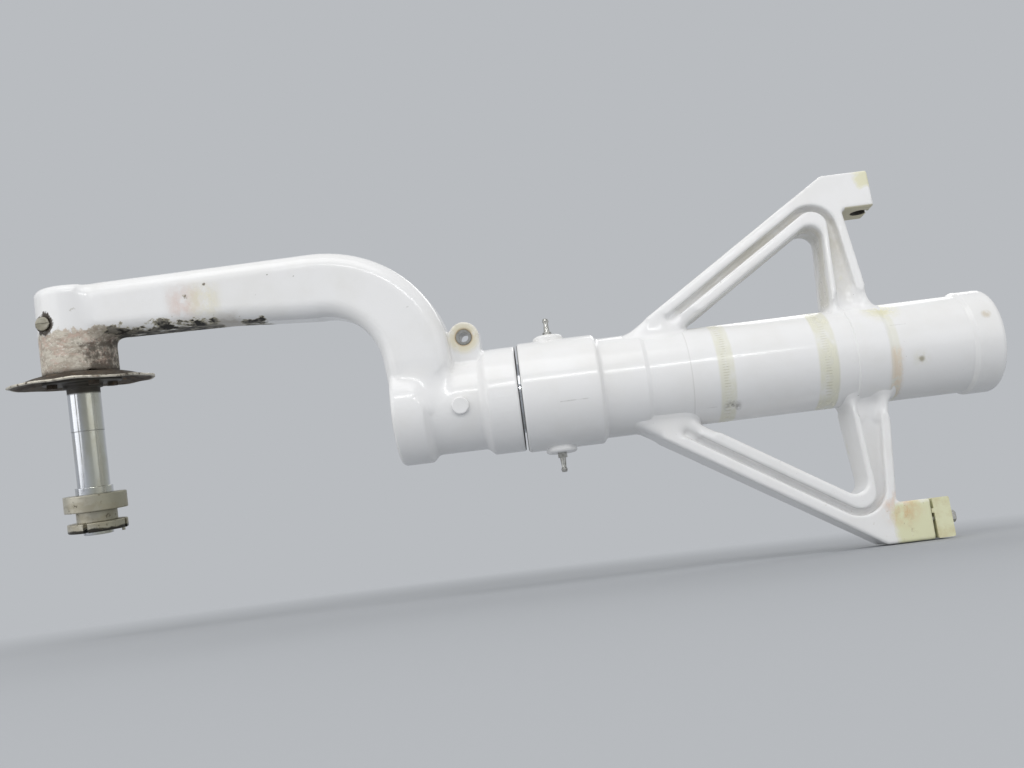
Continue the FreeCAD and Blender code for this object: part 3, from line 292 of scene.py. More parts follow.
def enamel_base(name, look):
    """White polyurethane enamel sprayed on primed aluminium: clean and glossy."""
    return Finish(name, look.paint_colour, look.paint_roughness, Metallic=0.0, IOR=1.5)


def weather(coat):
    """A thin film of handling grime, fine speckle, and a faint orange peel of about 2 mm that
    breaks up the lamps' reflections. All the painted pieces share them."""
    grime = coat.patches(None, coat.mottle(0.060, detail=5), 0.58, 0.12)
    coat.lay(coat.times(grime, 0.20), "#D2CFC6", 0.34)
    speckle = coat.patches(None, coat.mottle(0.0050, detail=3, shift=3.1), 0.755, 0.012)
    coat.lay(speckle, "#7A756C", 0.6)
    coat.relief(coat.mottle(0.0022, detail=1.0, rough=0.4), 0.000012)


def fork_enamel(look):
    """Enamel of the half fork. Stones and brake dust have chipped its lower side by the wheel down
    to primer and metal, and the hub's lower half is worn bare and crusted with brake dust.
    Painted shade darkens the arm's lower side, the corner under the arm by the hub, and the
    face that turns against the barrel."""
    coat = enamel_base("gloss_white_enamel_chipped", look)
    coat.turn_to_fork()
    weather(coat)
    # Rubbed patch half way along the arm, pink undercoat at one end and yellow primer at the other
    for low, high, colour in ((-0.700, -0.672, "#CDB5AA"), (-0.678, -0.652, "#D6CFB0")):
        cloud = coat.patches(None, coat.mottle(0.012, (1, 1, 1.4), 6, 0.7, high * 40), 0.48, 0.12)
        rubbed = coat.times(coat.inside(0.009, x=(low, high), y=(None, 0.0), z=(0.120, 0.150)),
                            cloud, 0.60)
        coat.lay(rubbed, colour, 0.45)
    # Brown film of grease along the arm's lower side, deepened by painted shade on the underside
    low_side_grease_and_shade = coat.inside(0.010, x=(None, -0.630), z=(None, 0.119))
    film = coat.patches(coat.times(low_side_grease_and_shade, 0.20),
                        coat.mottle(0.030, (2, 1, 1), 6, 0.65, 1.7), 0.62, 0.10)
    coat.lay(coat.times(film, low_side_grease_and_shade, 0.70), "#A39A8A", 0.5)
    # Chips: a ragged border that reaches up the front from the lower side, and a few beyond it
    border = coat.inside(0.012, x=(AXLE_X + 0.036, -0.652), z=(None, 0.1235))
    beyond = coat.times(coat.inside(0.008, x=(-0.640, -0.606), z=(None, 0.117)), 0.85)
    stray = coat.times(coat.inside(0.010, x=(-0.712, -0.640), z=(0.120, 0.160)), 0.42)
    reach = coat.add("ShaderNodeMath", {0: border, 1: beyond}, operation="MAXIMUM").outputs[0]
    reach = coat.add("ShaderNodeMath", {0: reach, 1: stray}, operation="MAXIMUM").outputs[0]
    ragged = coat.mottle(0.013, (1.6, 1, 1), 7, 0.66, 9.2)
    chips = coat.patches(coat.times(reach, 0.44), ragged, 0.860, 0.012)
    rims = coat.patches(coat.times(reach, 0.44), ragged, 0.828, 0.015)
    # The hub's lower half: bare and dirty, light where it is rubbed and pink where undercoat stays
    foot = coat.inside(0.010, x=(None, AXLE_X + 0.052), z=(None, 0.121))
    worn = coat.patches(coat.times(foot, 0.50),
                        coat.mottle(0.014, (1, 1, 1.3), 6, 0.7, 4.4), 0.76, 0.03)
    coat.lay(worn, "#ABA193", 0.62)
    for size, shift, level, share, colour, shine in (
            (0.010, 6.0, 0.50, 0.80, "#CFC9BB", 0.50), (0.012, 12.5, 0.54, 0.70, "#BFA496", 0.60),
            (0.008, 17.7, 0.57, 0.50, "#8B8173", 0.65), (0.005, 8.8, 0.63, 0.70, "#544C42", 0.75),
            (0.003, 3.4, 0.60, 0.80, "#E4E0D6", 0.40)):
        spots = coat.patches(None, coat.mottle(size, (1.5, 1, 0.8), 7, 0.72, shift), level, 0.05)
        coat.lay(coat.times(worn, spots, share), colour, shine)
    # Brake dust baked on under the arm beside the hub, deepened by painted shade in that corner, and a
    # darker band along the hub's lower rim
    corner = coat.inside(0.012, x=(AXLE_X + 0.014, AXLE_X + 0.060), z=(None, 0.116))
    corner_mottle = coat.mottle(0.008, detail=7, rough=0.72, shift=15.0)
    dust = coat.patches(coat.times(corner, 0.40), corner_mottle, 0.84, 0.08)
    coat.lay(coat.times(dust, 0.80), "#423B32", 0.8)
    lower_rim = coat.inside(0.003, x=(None, AXLE_X + 0.05), z=(None, 0.0835))
    coat.lay(coat.times(lower_rim, 0.7), "#4B443B", 0.7)
    # Chipped, dark ground round the lock bolt's head, and small marks beside it and on the arm
    for centre, size, cover, colour in (((-0.8255, -0.032, 0.130), 0.0125, 0.42, "#4F4942"),
                                        ((-0.795, -0.0300, 0.141), 0.0045, 0.40, "#9A9586"),
                                        ((-0.8400, -0.010, 0.142), 0.0060, 0.36, "#6A6359"),
                                        ((-0.6840, -0.0300, 0.141), 0.0035, 0.31, "#8A8274"),
                                        ((-0.6630, -0.0300, 0.151), 0.0030, 0.33, "#7A7265")):
        spot = coat.times(coat.near(centre, size, 0.006), cover)
        speckle = coat.mottle(0.008, detail=6, rough=0.7, shift=size * 300)
        coat.lay(coat.patches(spot, speckle, 0.78, 0.04), colour, 0.7)
    coat.lay(rims, "#AAA48E", 0.6)
    coat.lay(chips, coat.add("ShaderNodeMix", {
        0: coat.patches(None, coat.mottle(0.009, detail=5, shift=11.0), 0.52, 0.05),
        6: linear("#2A2825"), 7: linear("#807C72")}, data_type="RGBA").outputs[2], 0.7)
    # A few stone chips elsewhere on the arm
    stones = coat.times(coat.inside(0.02, x=(None, -0.56)), coat.patches(
        None, coat.mottle(0.011, detail=4, rough=0.6, shift=14.2), 0.790, 0.01))
    coat.lay(stones, "#4F4A44", 0.7)
    # Primer bared round the ear's bush, rubbed brown at its rim
    bush = (EAR_X, -0.020, 0.067)
    cloud = coat.patches(None, coat.mottle(0.012, detail=5, shift=21.0), 0.40, 0.12)
    coat.lay(coat.times(coat.near(bush, 0.0150, 0.004), cloud, 0.75), "#DAD2B4", 0.45)
    coat.lay(coat.times(coat.near(bush, 0.0092, 0.0015), 0.55), "#B89B6C", 0.5)
    # Painted shade: the face that turns against the barrel is painted dark, for the shade in the gap
    coat.lay(coat.inside(0.0004, x=(FORK_FACE_X - 0.0006, None)), "#35332F", 0.6)
    coat.relief(chips, -0.00012)
    coat.relief(coat.times(worn, coat.mottle(0.005, detail=6, rough=0.7, shift=8.8)), 0.0005)
    return coat.close()


def barrel_enamel(look):
    """Enamel of the barrel, with three yellowed bands where straps and labels once sat, and stains
    that ran from the trunnion legs."""
    coat = enamel_base("gloss_white_enamel_barrel", look)
    weather(coat)
    axes = coat.add("ShaderNodeSeparateXYZ", {0: coat.place}).outputs
    # Fine cross marks of old adhesive, one every 2.6 mm up the bands
    turns = coat.times(axes["Z"], math.tau / 0.0026)
    wave = coat.add("ShaderNodeMath", {0: turns}, operation="SINE").outputs[0]
    comb = coat.add("ShaderNodeMapRange", {
        "Value": wave, "From Min": 0.2, "From Max": 0.8}).outputs[0]
    for low, high, cast, marks in ((-0.1758, -0.1608, 0.40, 0.40), (-0.0806, -0.0620, 0.50, 0.34),
                                   (-0.0125, -0.0030, 0.28, 0.0)):
        band = coat.inside(0.0014, x=(low, high))
        cloud = coat.patches(None, coat.mottle(0.014, (1, 2, 2), 5, 0.65, low * 50), 0.40, 0.16)
        coat.lay(coat.times(band, cloud, cast), "#D2D0AA", 0.40)
        if marks:
            middle = (low + high) / 2
            column = coat.inside(0.0012, x=(middle - 0.004, middle + 0.002))
            gaps = coat.patches(None, coat.mottle(0.008, (1, 1, 1.5), 3, 0.6, high * 50), 0.46, 0.08)
            coat.lay(coat.times(comb, column, gaps, marks), "#9A9474", 0.5)
    # Stains: yellow at the upper leg's foot, orange down the side of the lower leg, spots of grease
    for mask, level, share, colour in (
            (coat.near((-0.010, -0.030, 0.038), 0.014, 0.010), 0.46, 0.60, "#D8D3A4"),
            (coat.inside(0.004, x=(-0.012, -0.002), y=(None, 0.0), z=(-0.046, -0.004)),
             0.46, 0.42, "#D8B994"),
            (coat.near((0.0158, -0.0455, -0.0171), 0.0060, 0.006), 0.46, 0.40, "#CFCBAE"),
            (coat.near((0.0158, -0.0455, -0.0171), 0.0026, 0.0016), 0.42, 0.75, "#928A70"),
            (coat.near((-0.1648, -0.0300, -0.0387), 0.0070, 0.004), 0.55, 0.80, "#6E6A60"),
            (coat.near((0.0830, -0.0480, 0.0180), 0.0040, 0.002), 0.46, 0.50, "#B9A98A")):
        cloud = coat.patches(None, coat.mottle(0.009, (1, 1, 1.5), 6, 0.7, share * 20), level, 0.08)
        coat.lay(coat.times(mask, cloud, share), colour, 0.5)
    # Scuffs along the barrel
    for low, high, height in ((-0.008, 0.008, 0.0185), (-0.330, -0.302, -0.0160),
                              (-0.190, -0.180, -0.0370)):
        streak = coat.inside(0.0004, x=(low, high), y=(None, 0.0),
                             z=(height - 0.0004, height + 0.0004))
        broken = coat.patches(None, coat.mottle(0.004, (3, 1, 1), 4, 0.6, high * 90), 0.48, 0.10)
        coat.lay(coat.times(streak, broken, 0.40), "#83807A", 0.55)
    # Paint line where the barrel was masked, half way to the gland
    line = coat.inside(0.0005, x=(-0.2021, -0.2013))
    coat.lay(coat.times(line, 0.35), "#B4B2AC", 0.5)
    coat.relief(line, -0.0001)
    # The face towards the fork is painted dark, as painted shade in the gap between fork and barrel,
    # and the bore is bare
    coat.lay(coat.inside(0.0004, x=(None, BARREL_FACE_X + 0.0006)), "#35332F", 0.6)
    coat.lay(coat.rise((0, 1, 1), 0.0460, 0.0455), "#6F7069", 0.45)
    return coat.close()


def frame_enamel(look):
    """Enamel of the trunnion frames. Hand work round the trunnion pins has worn it back to pale
    yellow primer on the lugs. Painted shade darkens the stained upper groove's floor, the upper
    lug's lower face and the insides of the bores."""
    coat = enamel_base("gloss_white_enamel_frames", look)
    weather(coat)
    # A stain on the upper groove's floor, which lies nearer to the middle plane than the rims,
    # darkened as painted shade in the groove
    axes = coat.add("ShaderNodeSeparateXYZ", {0: coat.place}).outputs
    depth = coat.add("ShaderNodeMath", {0: axes["Y"]}, operation="ABSOLUTE").outputs[0]
    floor = coat.add("ShaderNodeMapRange", {
        "Value": depth, "From Min": 0.0190, "From Max": 0.0120}).outputs[0]
    cloud = coat.patches(None, coat.mottle(0.022, (1.5, 1, 1.5), 5, 0.65, 3.0), 0.42, 0.12)
    upper_half = coat.inside(0.010, x=(None, -0.020), z=(0.050, 0.150))
    coat.lay(coat.times(floor, cloud, upper_half, 0.45), "#B7B096", 0.5)
    # Lower lug, nearly all primer, stained orange where the leg runs into it
    lower = coat.inside(0.007, x=(-0.030, None), z=(None, -0.1470))
    bare = coat.patches(coat.times(lower, 0.60),
                        coat.mottle(0.018, (1, 1, 1.4), 5, 0.65, 1.0), 0.84, 0.16)
    coat.lay(bare, "#DBDBB9", 0.42)
    orange = coat.patches(None, coat.mottle(0.010, (1, 1, 1.6), 6, 0.7, 5.5), 0.48, 0.12)
    leg_end = coat.near((-0.020, -0.020, -0.152), 0.014, 0.012)
    coat.lay(coat.times(leg_end, orange, 0.80), "#CC9C64", 0.5)
    grease = coat.patches(None, coat.mottle(0.012, (1.6, 1, 1), 6, 0.7, 9.5), 0.60, 0.06)
    coat.lay(coat.times(bare, grease, 0.35), "#B9A97E", 0.5)
    # Upper lug, worn thin at its end; its lower face is painted a darker beige as painted shade on the
    # downward face
    upper = coat.inside(0.007, x=(-0.006, None), z=(0.1670, None))
    thin = coat.patches(coat.times(upper, 0.50),
                        coat.mottle(0.014, detail=5, rough=0.65, shift=7.7), 0.84, 0.16)
    coat.lay(coat.times(thin, 0.8), "#DCD9B4", 0.45)
    lug_underside_shade = coat.inside(0.0008, x=(-0.020, None), z=(0.1400, 0.1490))
    coat.lay(coat.times(lug_underside_shade, 0.8), "#BDB694", 0.5)
    # The trunnion bores are bare and greasy inside, and painted near-black there as painted shade in
    # the holes
    coat.lay(coat.rise((1, 1, 0), 0.0084, 0.0081), "#3B3833", 0.5)
    # Edge wear: fine nicks where the paint is thin
    nicks = coat.patches(None, coat.mottle(0.006, detail=5, rough=0.7, shift=8.0), 0.67, 0.02)
    coat.lay(coat.times(coat.inside(0.004, z=(None, -0.1300)), nicks, 0.6), "#9C8C6C", 0.6)
    return coat.close()


def primer(look):
    """Zinc chromate primer, flat and pale, with grease in its pores."""
    coat = Finish("yellow_chromate_primer", look.primer_colour, 0.45, Metallic=0.0, IOR=1.5)
    grease = coat.patches(None, coat.mottle(0.015, detail=6, rough=0.7), 0.54, 0.10)
    coat.lay(coat.times(grease, 0.45), "#BDAE80", 0.55)
    pores = coat.patches(None, coat.mottle(0.005, detail=5, rough=0.7, shift=3.0), 0.70, 0.02)
    coat.lay(pores, "#6B614F", 0.7)
    coat.relief(coat.mottle(0.0015, detail=3), 0.00004)
    return coat.close()


def ground_steel(look):
    """Hard chromed steel, ground between centres: mirror-like, with hair-fine rings round the axle
    and a dry film of old grease down one side."""
    coat = Finish("ground_chromed_steel", look.steel_colour, 0.12, Metallic=1.0)
    coat.turn_to_fork()
    rings = coat.mottle(0.0012, (40, 40, 1), 2, 0.5)
    coat.lay(coat.times(rings, 0.25), "#A9ACB0", 0.26)
    greased = coat.inside(0.005, x=(AXLE_X + 0.003, AXLE_X + 0.04), y=(None, 0.0))
    coat.lay(coat.times(greased, 0.55), "#B3B295", 0.24)
    film = coat.patches(None, coat.mottle(0.018, (1, 1, 2.2), 5, 0.65, 2.0), 0.56, 0.07)
    coat.lay(coat.times(film, 0.25), "#A69E82", 0.32)
    # A dark line down the front, painted as a reflection in the chrome; the step at the bearing seat;
    # and painted shade on the axle just under the brake plate
    dark_reflection_line = coat.inside(0.0005, x=(AXLE_X - 0.0026, AXLE_X - 0.0016), y=(None, 0.0),
                         z=(-0.0380, 0.0600))
    broken = coat.patches(None, coat.mottle(0.010, (1, 1, 3), 3, 0.5, 8.0), 0.36, 0.08)
    coat.lay(coat.times(dark_reflection_line, broken, 0.7), "#55534F", 0.45)
    step = coat.inside(0.0006, x=(AXLE_X - 0.03, AXLE_X + 0.03), z=(0.0216, 0.0224))
    coat.lay(coat.times(step, 0.6), "#5A5752", 0.45)
    under_plate_shade = coat.inside(0.0015, x=(None, AXLE_X + 0.05), z=(0.0600, None))
    coat.lay(coat.times(under_plate_shade, 0.92), "#4A453E", 0.6)
    coat.relief(rings, 0.000006)
    return coat.close()


def plated_steel():
    """Cadmium plated steel, turned: soft grey shine with a yellow-grey cast and dirt in the marks."""
    coat = Finish("cadmium_plated_steel", "#A9A597", 0.38, Metallic=1.0)
    dulled = coat.patches(None, coat.mottle(0.012, detail=5, rough=0.65), 0.50, 0.10)
    coat.lay(coat.times(dulled, 0.7), "#7F7A6B", 0.5)
    dirt = coat.patches(None, coat.mottle(0.004, detail=5, rough=0.7, shift=3.3), 0.66, 0.03)
    coat.lay(dirt, "#4A453C", 0.65)
    coat.relief(coat.mottle(0.0009, detail=2), 0.00001)
    return coat.close()


def greasy_steel():
    """The spacer, washer and nut: plated steel with a skin of old wheel grease. The side towards
    the barrel is painted darker as painted shade, and the pieces darken towards the bottom."""
    coat = Finish("greasy_plated_steel", "#C3BEAF", 0.40, Metallic=0.75)
    coat.turn_to_fork()
    # Painted shade: the side towards the barrel is darker
    shaded_side = coat.inside(0.014, x=(AXLE_X + 0.008, None))
    coat.lay(coat.times(shaded_side, 0.60), "#807E66", 0.48)
    film = coat.patches(None, coat.mottle(0.012, (1.8, 1.8, 1), 5, 0.65, 6.1), 0.54, 0.06)
    coat.lay(coat.times(film, 0.5), "#9A927C", 0.5)
    # Darker, mottled patches towards the bottom
    low = coat.inside(0.0025, z=(None, -0.0755))
    dark_bottom = coat.patches(coat.times(low, 0.45), coat.mottle(0.008, (2, 2, 1), 5, 0.7), 0.74, 0.08)
    coat.lay(coat.times(dark_bottom, 0.92), "#1E1C19", 0.32)
    dirt = coat.patches(None, coat.mottle(0.005, detail=5, rough=0.7, shift=2.7), 0.64, 0.04)
    coat.lay(dirt, "#5A5344", 0.6)
    coat.relief(coat.mottle(0.0010, (1, 1, 0.5), 3), 0.00003)
    return coat.close()


def scorched_sheet():
    """The brake's torque plate and its bolts: thin sheet steel, scorched dark, with rust and brake
    dust and a rubbed bright rim."""
    coat = Finish("scorched_sheet_steel", "#5F574D", 0.6, Metallic=0.5)
    coat.turn_to_fork()
    scorch = coat.patches(None, coat.mottle(0.020, detail=6, rough=0.7), 0.50, 0.08)
    coat.lay(scorch, "#453B31", 0.75)
    rust = coat.patches(None, coat.mottle(0.009, detail=6, rough=0.7, shift=4.0), 0.60, 0.04)
    coat.lay(rust, "#75604A", 0.8)
    rim = coat.rise((1, 1, 0), 0.0655, 0.0685, (AXLE_X, 0, 0))
    rubbed = coat.patches(None, coat.mottle(0.014, detail=4, shift=1.0), 0.38, 0.08)
    coat.lay(coat.times(rim, rubbed), "#CFC9BB", 0.4)
    pits = coat.patches(None, coat.mottle(0.006, detail=6, rough=0.7, shift=13.0), 0.58, 0.04)
    coat.lay(coat.times(rim, pits), "#6A6052", 0.6)
    coat.relief(coat.mottle(0.004, detail=6, rough=0.7), 0.00025)
    return coat.close()


def bright_hardware():
    """Zinc plated screws, fittings and rings: bright and a little cloudy."""
    coat = Finish("zinc_plated_hardware", "#C2C1BC", 0.28, Metallic=1.0)
    cloudy = coat.patches(None, coat.mottle(0.005, detail=5, rough=0.65), 0.52, 0.08)
    coat.lay(coat.times(cloudy, 0.6), "#8C897F", 0.42)
    coat.relief(coat.mottle(0.0008, detail=2), 0.00001)
    return coat.close()


def bronze():
    """Cast aluminium bronze, bored and turned: warm, with fine tool rings."""
    coat = Finish("turned_bronze", "#B08A4E", 0.32, Metallic=1.0)
    rings = coat.mottle(0.0010, (1, 30, 30), 2)
    coat.lay(coat.times(rings, 0.4), "#8A6A38", 0.42)
    coat.relief(rings, 0.00001)
    return coat.close()


def machined_aluminium():
    """Aluminium alloy turned and chemical filmed: dull gold-grey with faint tool rings."""
    coat = Finish("machined_aluminium", "#B3AE9B", 0.36, Metallic=1.0)
    filmed = coat.patches(None, coat.mottle(0.014, detail=5), 0.50, 0.10)
    coat.lay(coat.times(filmed, 0.5), "#8E8972", 0.46)
    coat.relief(coat.mottle(0.0010, (1, 30, 30), 2), 0.00001)
    return coat.close()


def seal_rubber():
    """Moulded nitrile rubber: black, with an oily half shine."""
    coat = Finish("nitrile_rubber", "#1D1C1B", 0.45, Metallic=0.0, IOR=1.5)
    coat.lay(coat.times(coat.mottle(0.006, detail=5), 0.4), "#3A3835", 0.65)
    coat.relief(coat.mottle(0.0012, detail=3), 0.00003)
    return coat.close()


def seal_plastic():
    """Filled PTFE: off-white and waxy, browned by oil."""
    coat = Finish("filled_ptfe", "#CFC7B5", 0.5, Metallic=0.0, IOR=1.38)
    coat.lay(coat.times(coat.mottle(0.010, detail=5), 0.6), "#9C8B6C", 0.55)
    coat.relief(coat.mottle(0.0010, detail=2), 0.00002)
    return coat.close()


def dress(material, *nodes):
    """Gives carried-over CAD nodes their material."""
    for node in nodes:
        frame["nodes"][node].material_slots[0].material = material


# --- settings ---------------------------------------------------------------------------------
class StrutLook(bpy.types.PropertyGroup):
    paint_colour: bpy.props.FloatVectorProperty(
        name="Paint", description="White enamel of the forgings",
        default=linear("#E9E9E9"), size=4, subtype="COLOR", min=0, max=1)
    primer_colour: bpy.props.FloatVectorProperty(
        name="Primer", description="Primer of the keeper",
        default=linear("#D9D9B8"), size=4, subtype="COLOR", min=0, max=1)
    steel_colour: bpy.props.FloatVectorProperty(
        name="Steel", description="Chromed steel of the axle and piston",
        default=linear("#D6D8DC"), size=4, subtype="COLOR", min=0, max=1)
    paint_roughness: bpy.props.FloatProperty(
        name="Paint roughness", description="0 is a wet gloss",
        default=0.15, min=0.05, max=1, subtype="FACTOR")


class StrutForging(bpy.types.PropertyGroup):
    voxel: bpy.props.FloatProperty(
        name="Skin", description="Spacing of the points on the skins of the fork and the frames",
        default=0.0016, min=0.001, max=0.01, precision=4, subtype="DISTANCE", unit="LENGTH")
    rings: bpy.props.IntProperty(
        name="Fillet reach",
        description="How many points a fillet reaches each side of an inside corner",
        default=6, min=1, max=20)
    passes: bpy.props.IntProperty(
        name="Fillet passes", description="How often an inside corner is smoothed",
        default=60, min=1, max=300)


class StrutStage(bpy.types.PropertyGroup):
    backdrop: bpy.props.FloatVectorProperty(
        name="Backdrop", description="Colour that the floor fades to, and of the room",
        default=linear("#B9BCC0"), size=4, subtype="COLOR", min=0, max=1)
    lens: bpy.props.FloatProperty(
        name="Lens", description="Focal length on a 36 mm sensor",
        default=33.4, min=10, max=200, subtype="DISTANCE_CAMERA")
    key: bpy.props.FloatProperty(
        name="Key lamp", description="Power of the lamp overhead",
        default=10.0, min=0, max=200, subtype="POWER", unit="POWER")
    strip: bpy.props.FloatProperty(
        name="Strip lamp", description="Power of the narrow lamp in front",
        default=8.0, min=0, max=200, subtype="POWER", unit="POWER")
    side: bpy.props.FloatProperty(
        name="Side lamp", description="Power of the broad lamp beside the wheel end",
        default=9.5, min=0, max=200, subtype="POWER", unit="POWER")
    room: bpy.props.FloatProperty(
        name="Room light", description="Level of the room's even light",
        default=0.71, min=0, max=2)


# --- operators --------------------------------------------------------------------------------
class STRUT_OT_half_fork(bpy.types.Operator):
    """Make the half fork as one forging, with fillets where the arm meets the hub, socket and ear"""
    bl_idname = "strut.half_fork"
    bl_label = "Half fork"

    def execute(self, context):
        forging = context.scene.strut_forging
        fork = cad_copy("half_fork", "half_fork_forging")
        remesh(fork, forging.voxel * (1))

        def beside_hub_and_socket(place):
            by_hub = AXLE_X < place.x < AXLE_X + 0.060 and place.z > 0.085
            by_socket = -0.545 < place.x < -0.470 and place.z > 0.040
            return by_hub or by_socket

        def by_arm_end(place):
            return -0.468 < place.x < EAR_X - 0.020 and 0.010 < place.z < 0.080

        fill_inside_corners(fork, forging.rings, forging.passes, beside_hub_and_socket)
        # The bend flows into the socket in a wider sweep
        fill_inside_corners(fork, forging.rings + 4, forging.passes * 2, by_arm_end)
        fork.data.shade_smooth()
        enamel = fork_enamel(context.scene.strut_look)
        place_piece(fork, "fork", enamel, ["half_fork"])
        return {"FINISHED"}


def barrel_radius(x):
    """Outer radius of the barrel where the frames stand on it."""
    return next(radius for end, radius in BARREL_STEPS if x < end)


class STRUT_OT_frames(bpy.types.Operator):
    """Make each trunnion frame as a casting whose feet flow into the barrel"""
    bl_idname = "strut.frames"
    bl_label = "Trunnion frames"

    def execute(self, context):
        forging = context.scene.strut_forging
        enamel = frame_enamel(context.scene.strut_look)
        for node, side in (("upper_trunnion_frame", 1), ("lower_trunnion_frame", -1)):
            piece = cad_copy(node, node + "_casting")
            shape = bmesh.new()
            shape.from_mesh(piece.data)
            for low, high in FOOT_BANDS:
                self.add_band(shape, low, high)
            shape.to_mesh(piece.data)
            shape.free()
            remesh(piece, forging.voxel * (1))
            fill_inside_corners(piece, forging.rings, forging.passes,
                                lambda place: math.hypot(place.y, place.z) < FOOT_REACH)
            self.sink_band(piece, side)
            piece.data.shade_smooth()
            place_piece(piece, "cylinder", enamel, [node])
        return {"FINISHED"}

    def add_band(self, shape, low, high):
        """Adds a stretch of the barrel's wall for the feet to grow out of."""
        radius = barrel_radius((low + high) / 2) + BAND_PROUD
        band = bmesh.new()
        turned_profile(band, [Vector((low, 0, radius - BAND_THICK)), Vector((low, 0, radius)),
                              Vector((high, 0, radius)), Vector((high, 0, radius - BAND_THICK))],
                       (0, 0, 0), (1, 0, 0))
        mesh = bpy.data.meshes.new("band")
        band.to_mesh(mesh)
        band.free()
        shape.from_mesh(mesh)
        bpy.data.meshes.remove(mesh)

    def sink_band(self, piece, side):
        """Draws the band's bare stretches under the barrel's own surface, and cuts off what lies
        beyond the fillets."""
        shape = bmesh.new()
        shape.from_mesh(piece.data)
        for vert in shape.verts:
            out = Vector((0, vert.co.y, vert.co.z))
            over = out.length - barrel_radius(vert.co.x)
            if -2 * BAND_THICK < over < SINK:
                vert.co -= out.normalized() * SINK * min(1.0, (SINK - over) / SINK)
        cut = bmesh.ops.bisect_plane(
            shape, geom=shape.verts[:] + shape.edges[:] + shape.faces[:],
            plane_co=(0, 0, side * BAND_CUT), plane_no=(0, 0, side), clear_inner=True)
        rim = [edge for edge in cut["geom_cut"] if isinstance(edge, bmesh.types.BMEdge)]
        bmesh.ops.holes_fill(shape, edges=rim)
        bmesh.ops.recalc_face_normals(shape, faces=shape.faces)
        shape.to_mesh(piece.data)
        shape.free()


class STRUT_OT_brake_plate(bpy.types.Operator):
    """Make the brake plate as worn sheet steel with a ragged rim"""
    bl_idname = "strut.brake_plate"
    bl_label = "Brake plate"

    def execute(self, context):
        low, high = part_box("brake_plate")
        outer = (high.x - low.x) / 2
        bore, top, flat = 0.02105, 0.07995, 0.050
        shape = bmesh.new()
        profile = [
            (bore, top), (0.0405, top), (0.048, top - 0.0018), (0.058, top - 0.0052),
            (0.064, top - 0.0070), (outer - 0.0006, top - 0.0070), (outer, top - 0.0078),
            (outer, top - 0.0084), (outer - 0.0006, top - 0.0092), (0.064, top - 0.0095),
            (0.057, top - 0.0082), (0.047, top - 0.0047), (0.0405, top - 0.0030),
            (bore, top - 0.0030)]
        turned_profile(shape, [Vector((AXLE_X + radius, 0, height)) for radius, height in profile],
                       (AXLE_X, 0, 0), (0, 0, 1))
        # Wear has eaten the rim back by up to a few millimetres and bent it a little
        for vert in shape.verts:
            away = Vector((vert.co.x - AXLE_X, vert.co.y, 0))
            share = max(0.0, (away.length - flat) / (outer - flat))
            ragged = noise.noise(away.normalized() * 7.0) + 0.6 * noise.noise(away.normalized() * 23.0)
            bent = noise.noise(away.normalized() * 2.3 + Vector((5.0, 0, 0)))
            vert.co -= away.normalized() * share ** 3 * (0.0016 * (ragged + 1.0))
            vert.co.z += share * share * 0.0018 * bent
        bmesh.ops.transform(shape, matrix=TO_FORK.inverted(), verts=shape.verts)
        piece = new_piece("brake_plate_sheet", shape)
        piece.data.set_sharp_from_angle(angle=math.radians(40))
        scorched = scorched_sheet()
        place_piece(piece, "fork", scorched, ["brake_plate"])
        dress(scorched, "brake_plate_bolts")
        return {"FINISHED"}


class STRUT_OT_paint(bpy.types.Operator):
    """Paint the barrel and the cross pin, and prime the keeper"""
    bl_idname = "strut.paint"
    bl_label = "Paint"

    def execute(self, context):
        look = context.scene.strut_look
        dress(barrel_enamel(look), "cylinder_barrel")
        dress(primer(look), "trunnion_keeper")
        pin = enamel_base("gloss_white_enamel_pin", look)
        weather(pin)
        dress(pin.close(), "piston_cross_pin")
        return {"FINISHED"}


class STRUT_OT_metals(bpy.types.Operator):
    """Finish the steel, bronze and aluminium pieces"""
    bl_idname = "strut.metals"
    bl_label = "Metals"

    def execute(self, context):
        dress(ground_steel(context.scene.strut_look), "axle", "piston_tube")
        dress(greasy_steel(), "wheel_spacer", "thrust_washer", "axle_nut")
        dress(plated_steel(), "axle_lock_bolt", "axle_lock_nut", "axle_cotter_pin", "metering_pin")
        dress(bright_hardware(), "grease_fittings", "ear_bush", "keeper_screws", "air_valve",
              "valve_cap", "gland_snap_ring", "end_cap_snap_ring", "piston_snap_ring")
        dress(bronze(), "lower_bearing", "upper_bearing")
        dress(machined_aluminium(), "end_cap", "extension_stop", "orifice_tube", "orifice_plate",
              "piston_plug")
        return {"FINISHED"}


class STRUT_OT_seals(bpy.types.Operator):
    """Finish the rubber and plastic rings"""
    bl_idname = "strut.seals"
    bl_label = "Seals"

    def execute(self, context):
        dress(seal_rubber(), "piston_seal", "bearing_seal", "end_cap_seal", "plug_seal")
        dress(seal_plastic(), "backup_rings", "wiper_ring", "wear_band")
        return {"FINISHED"}


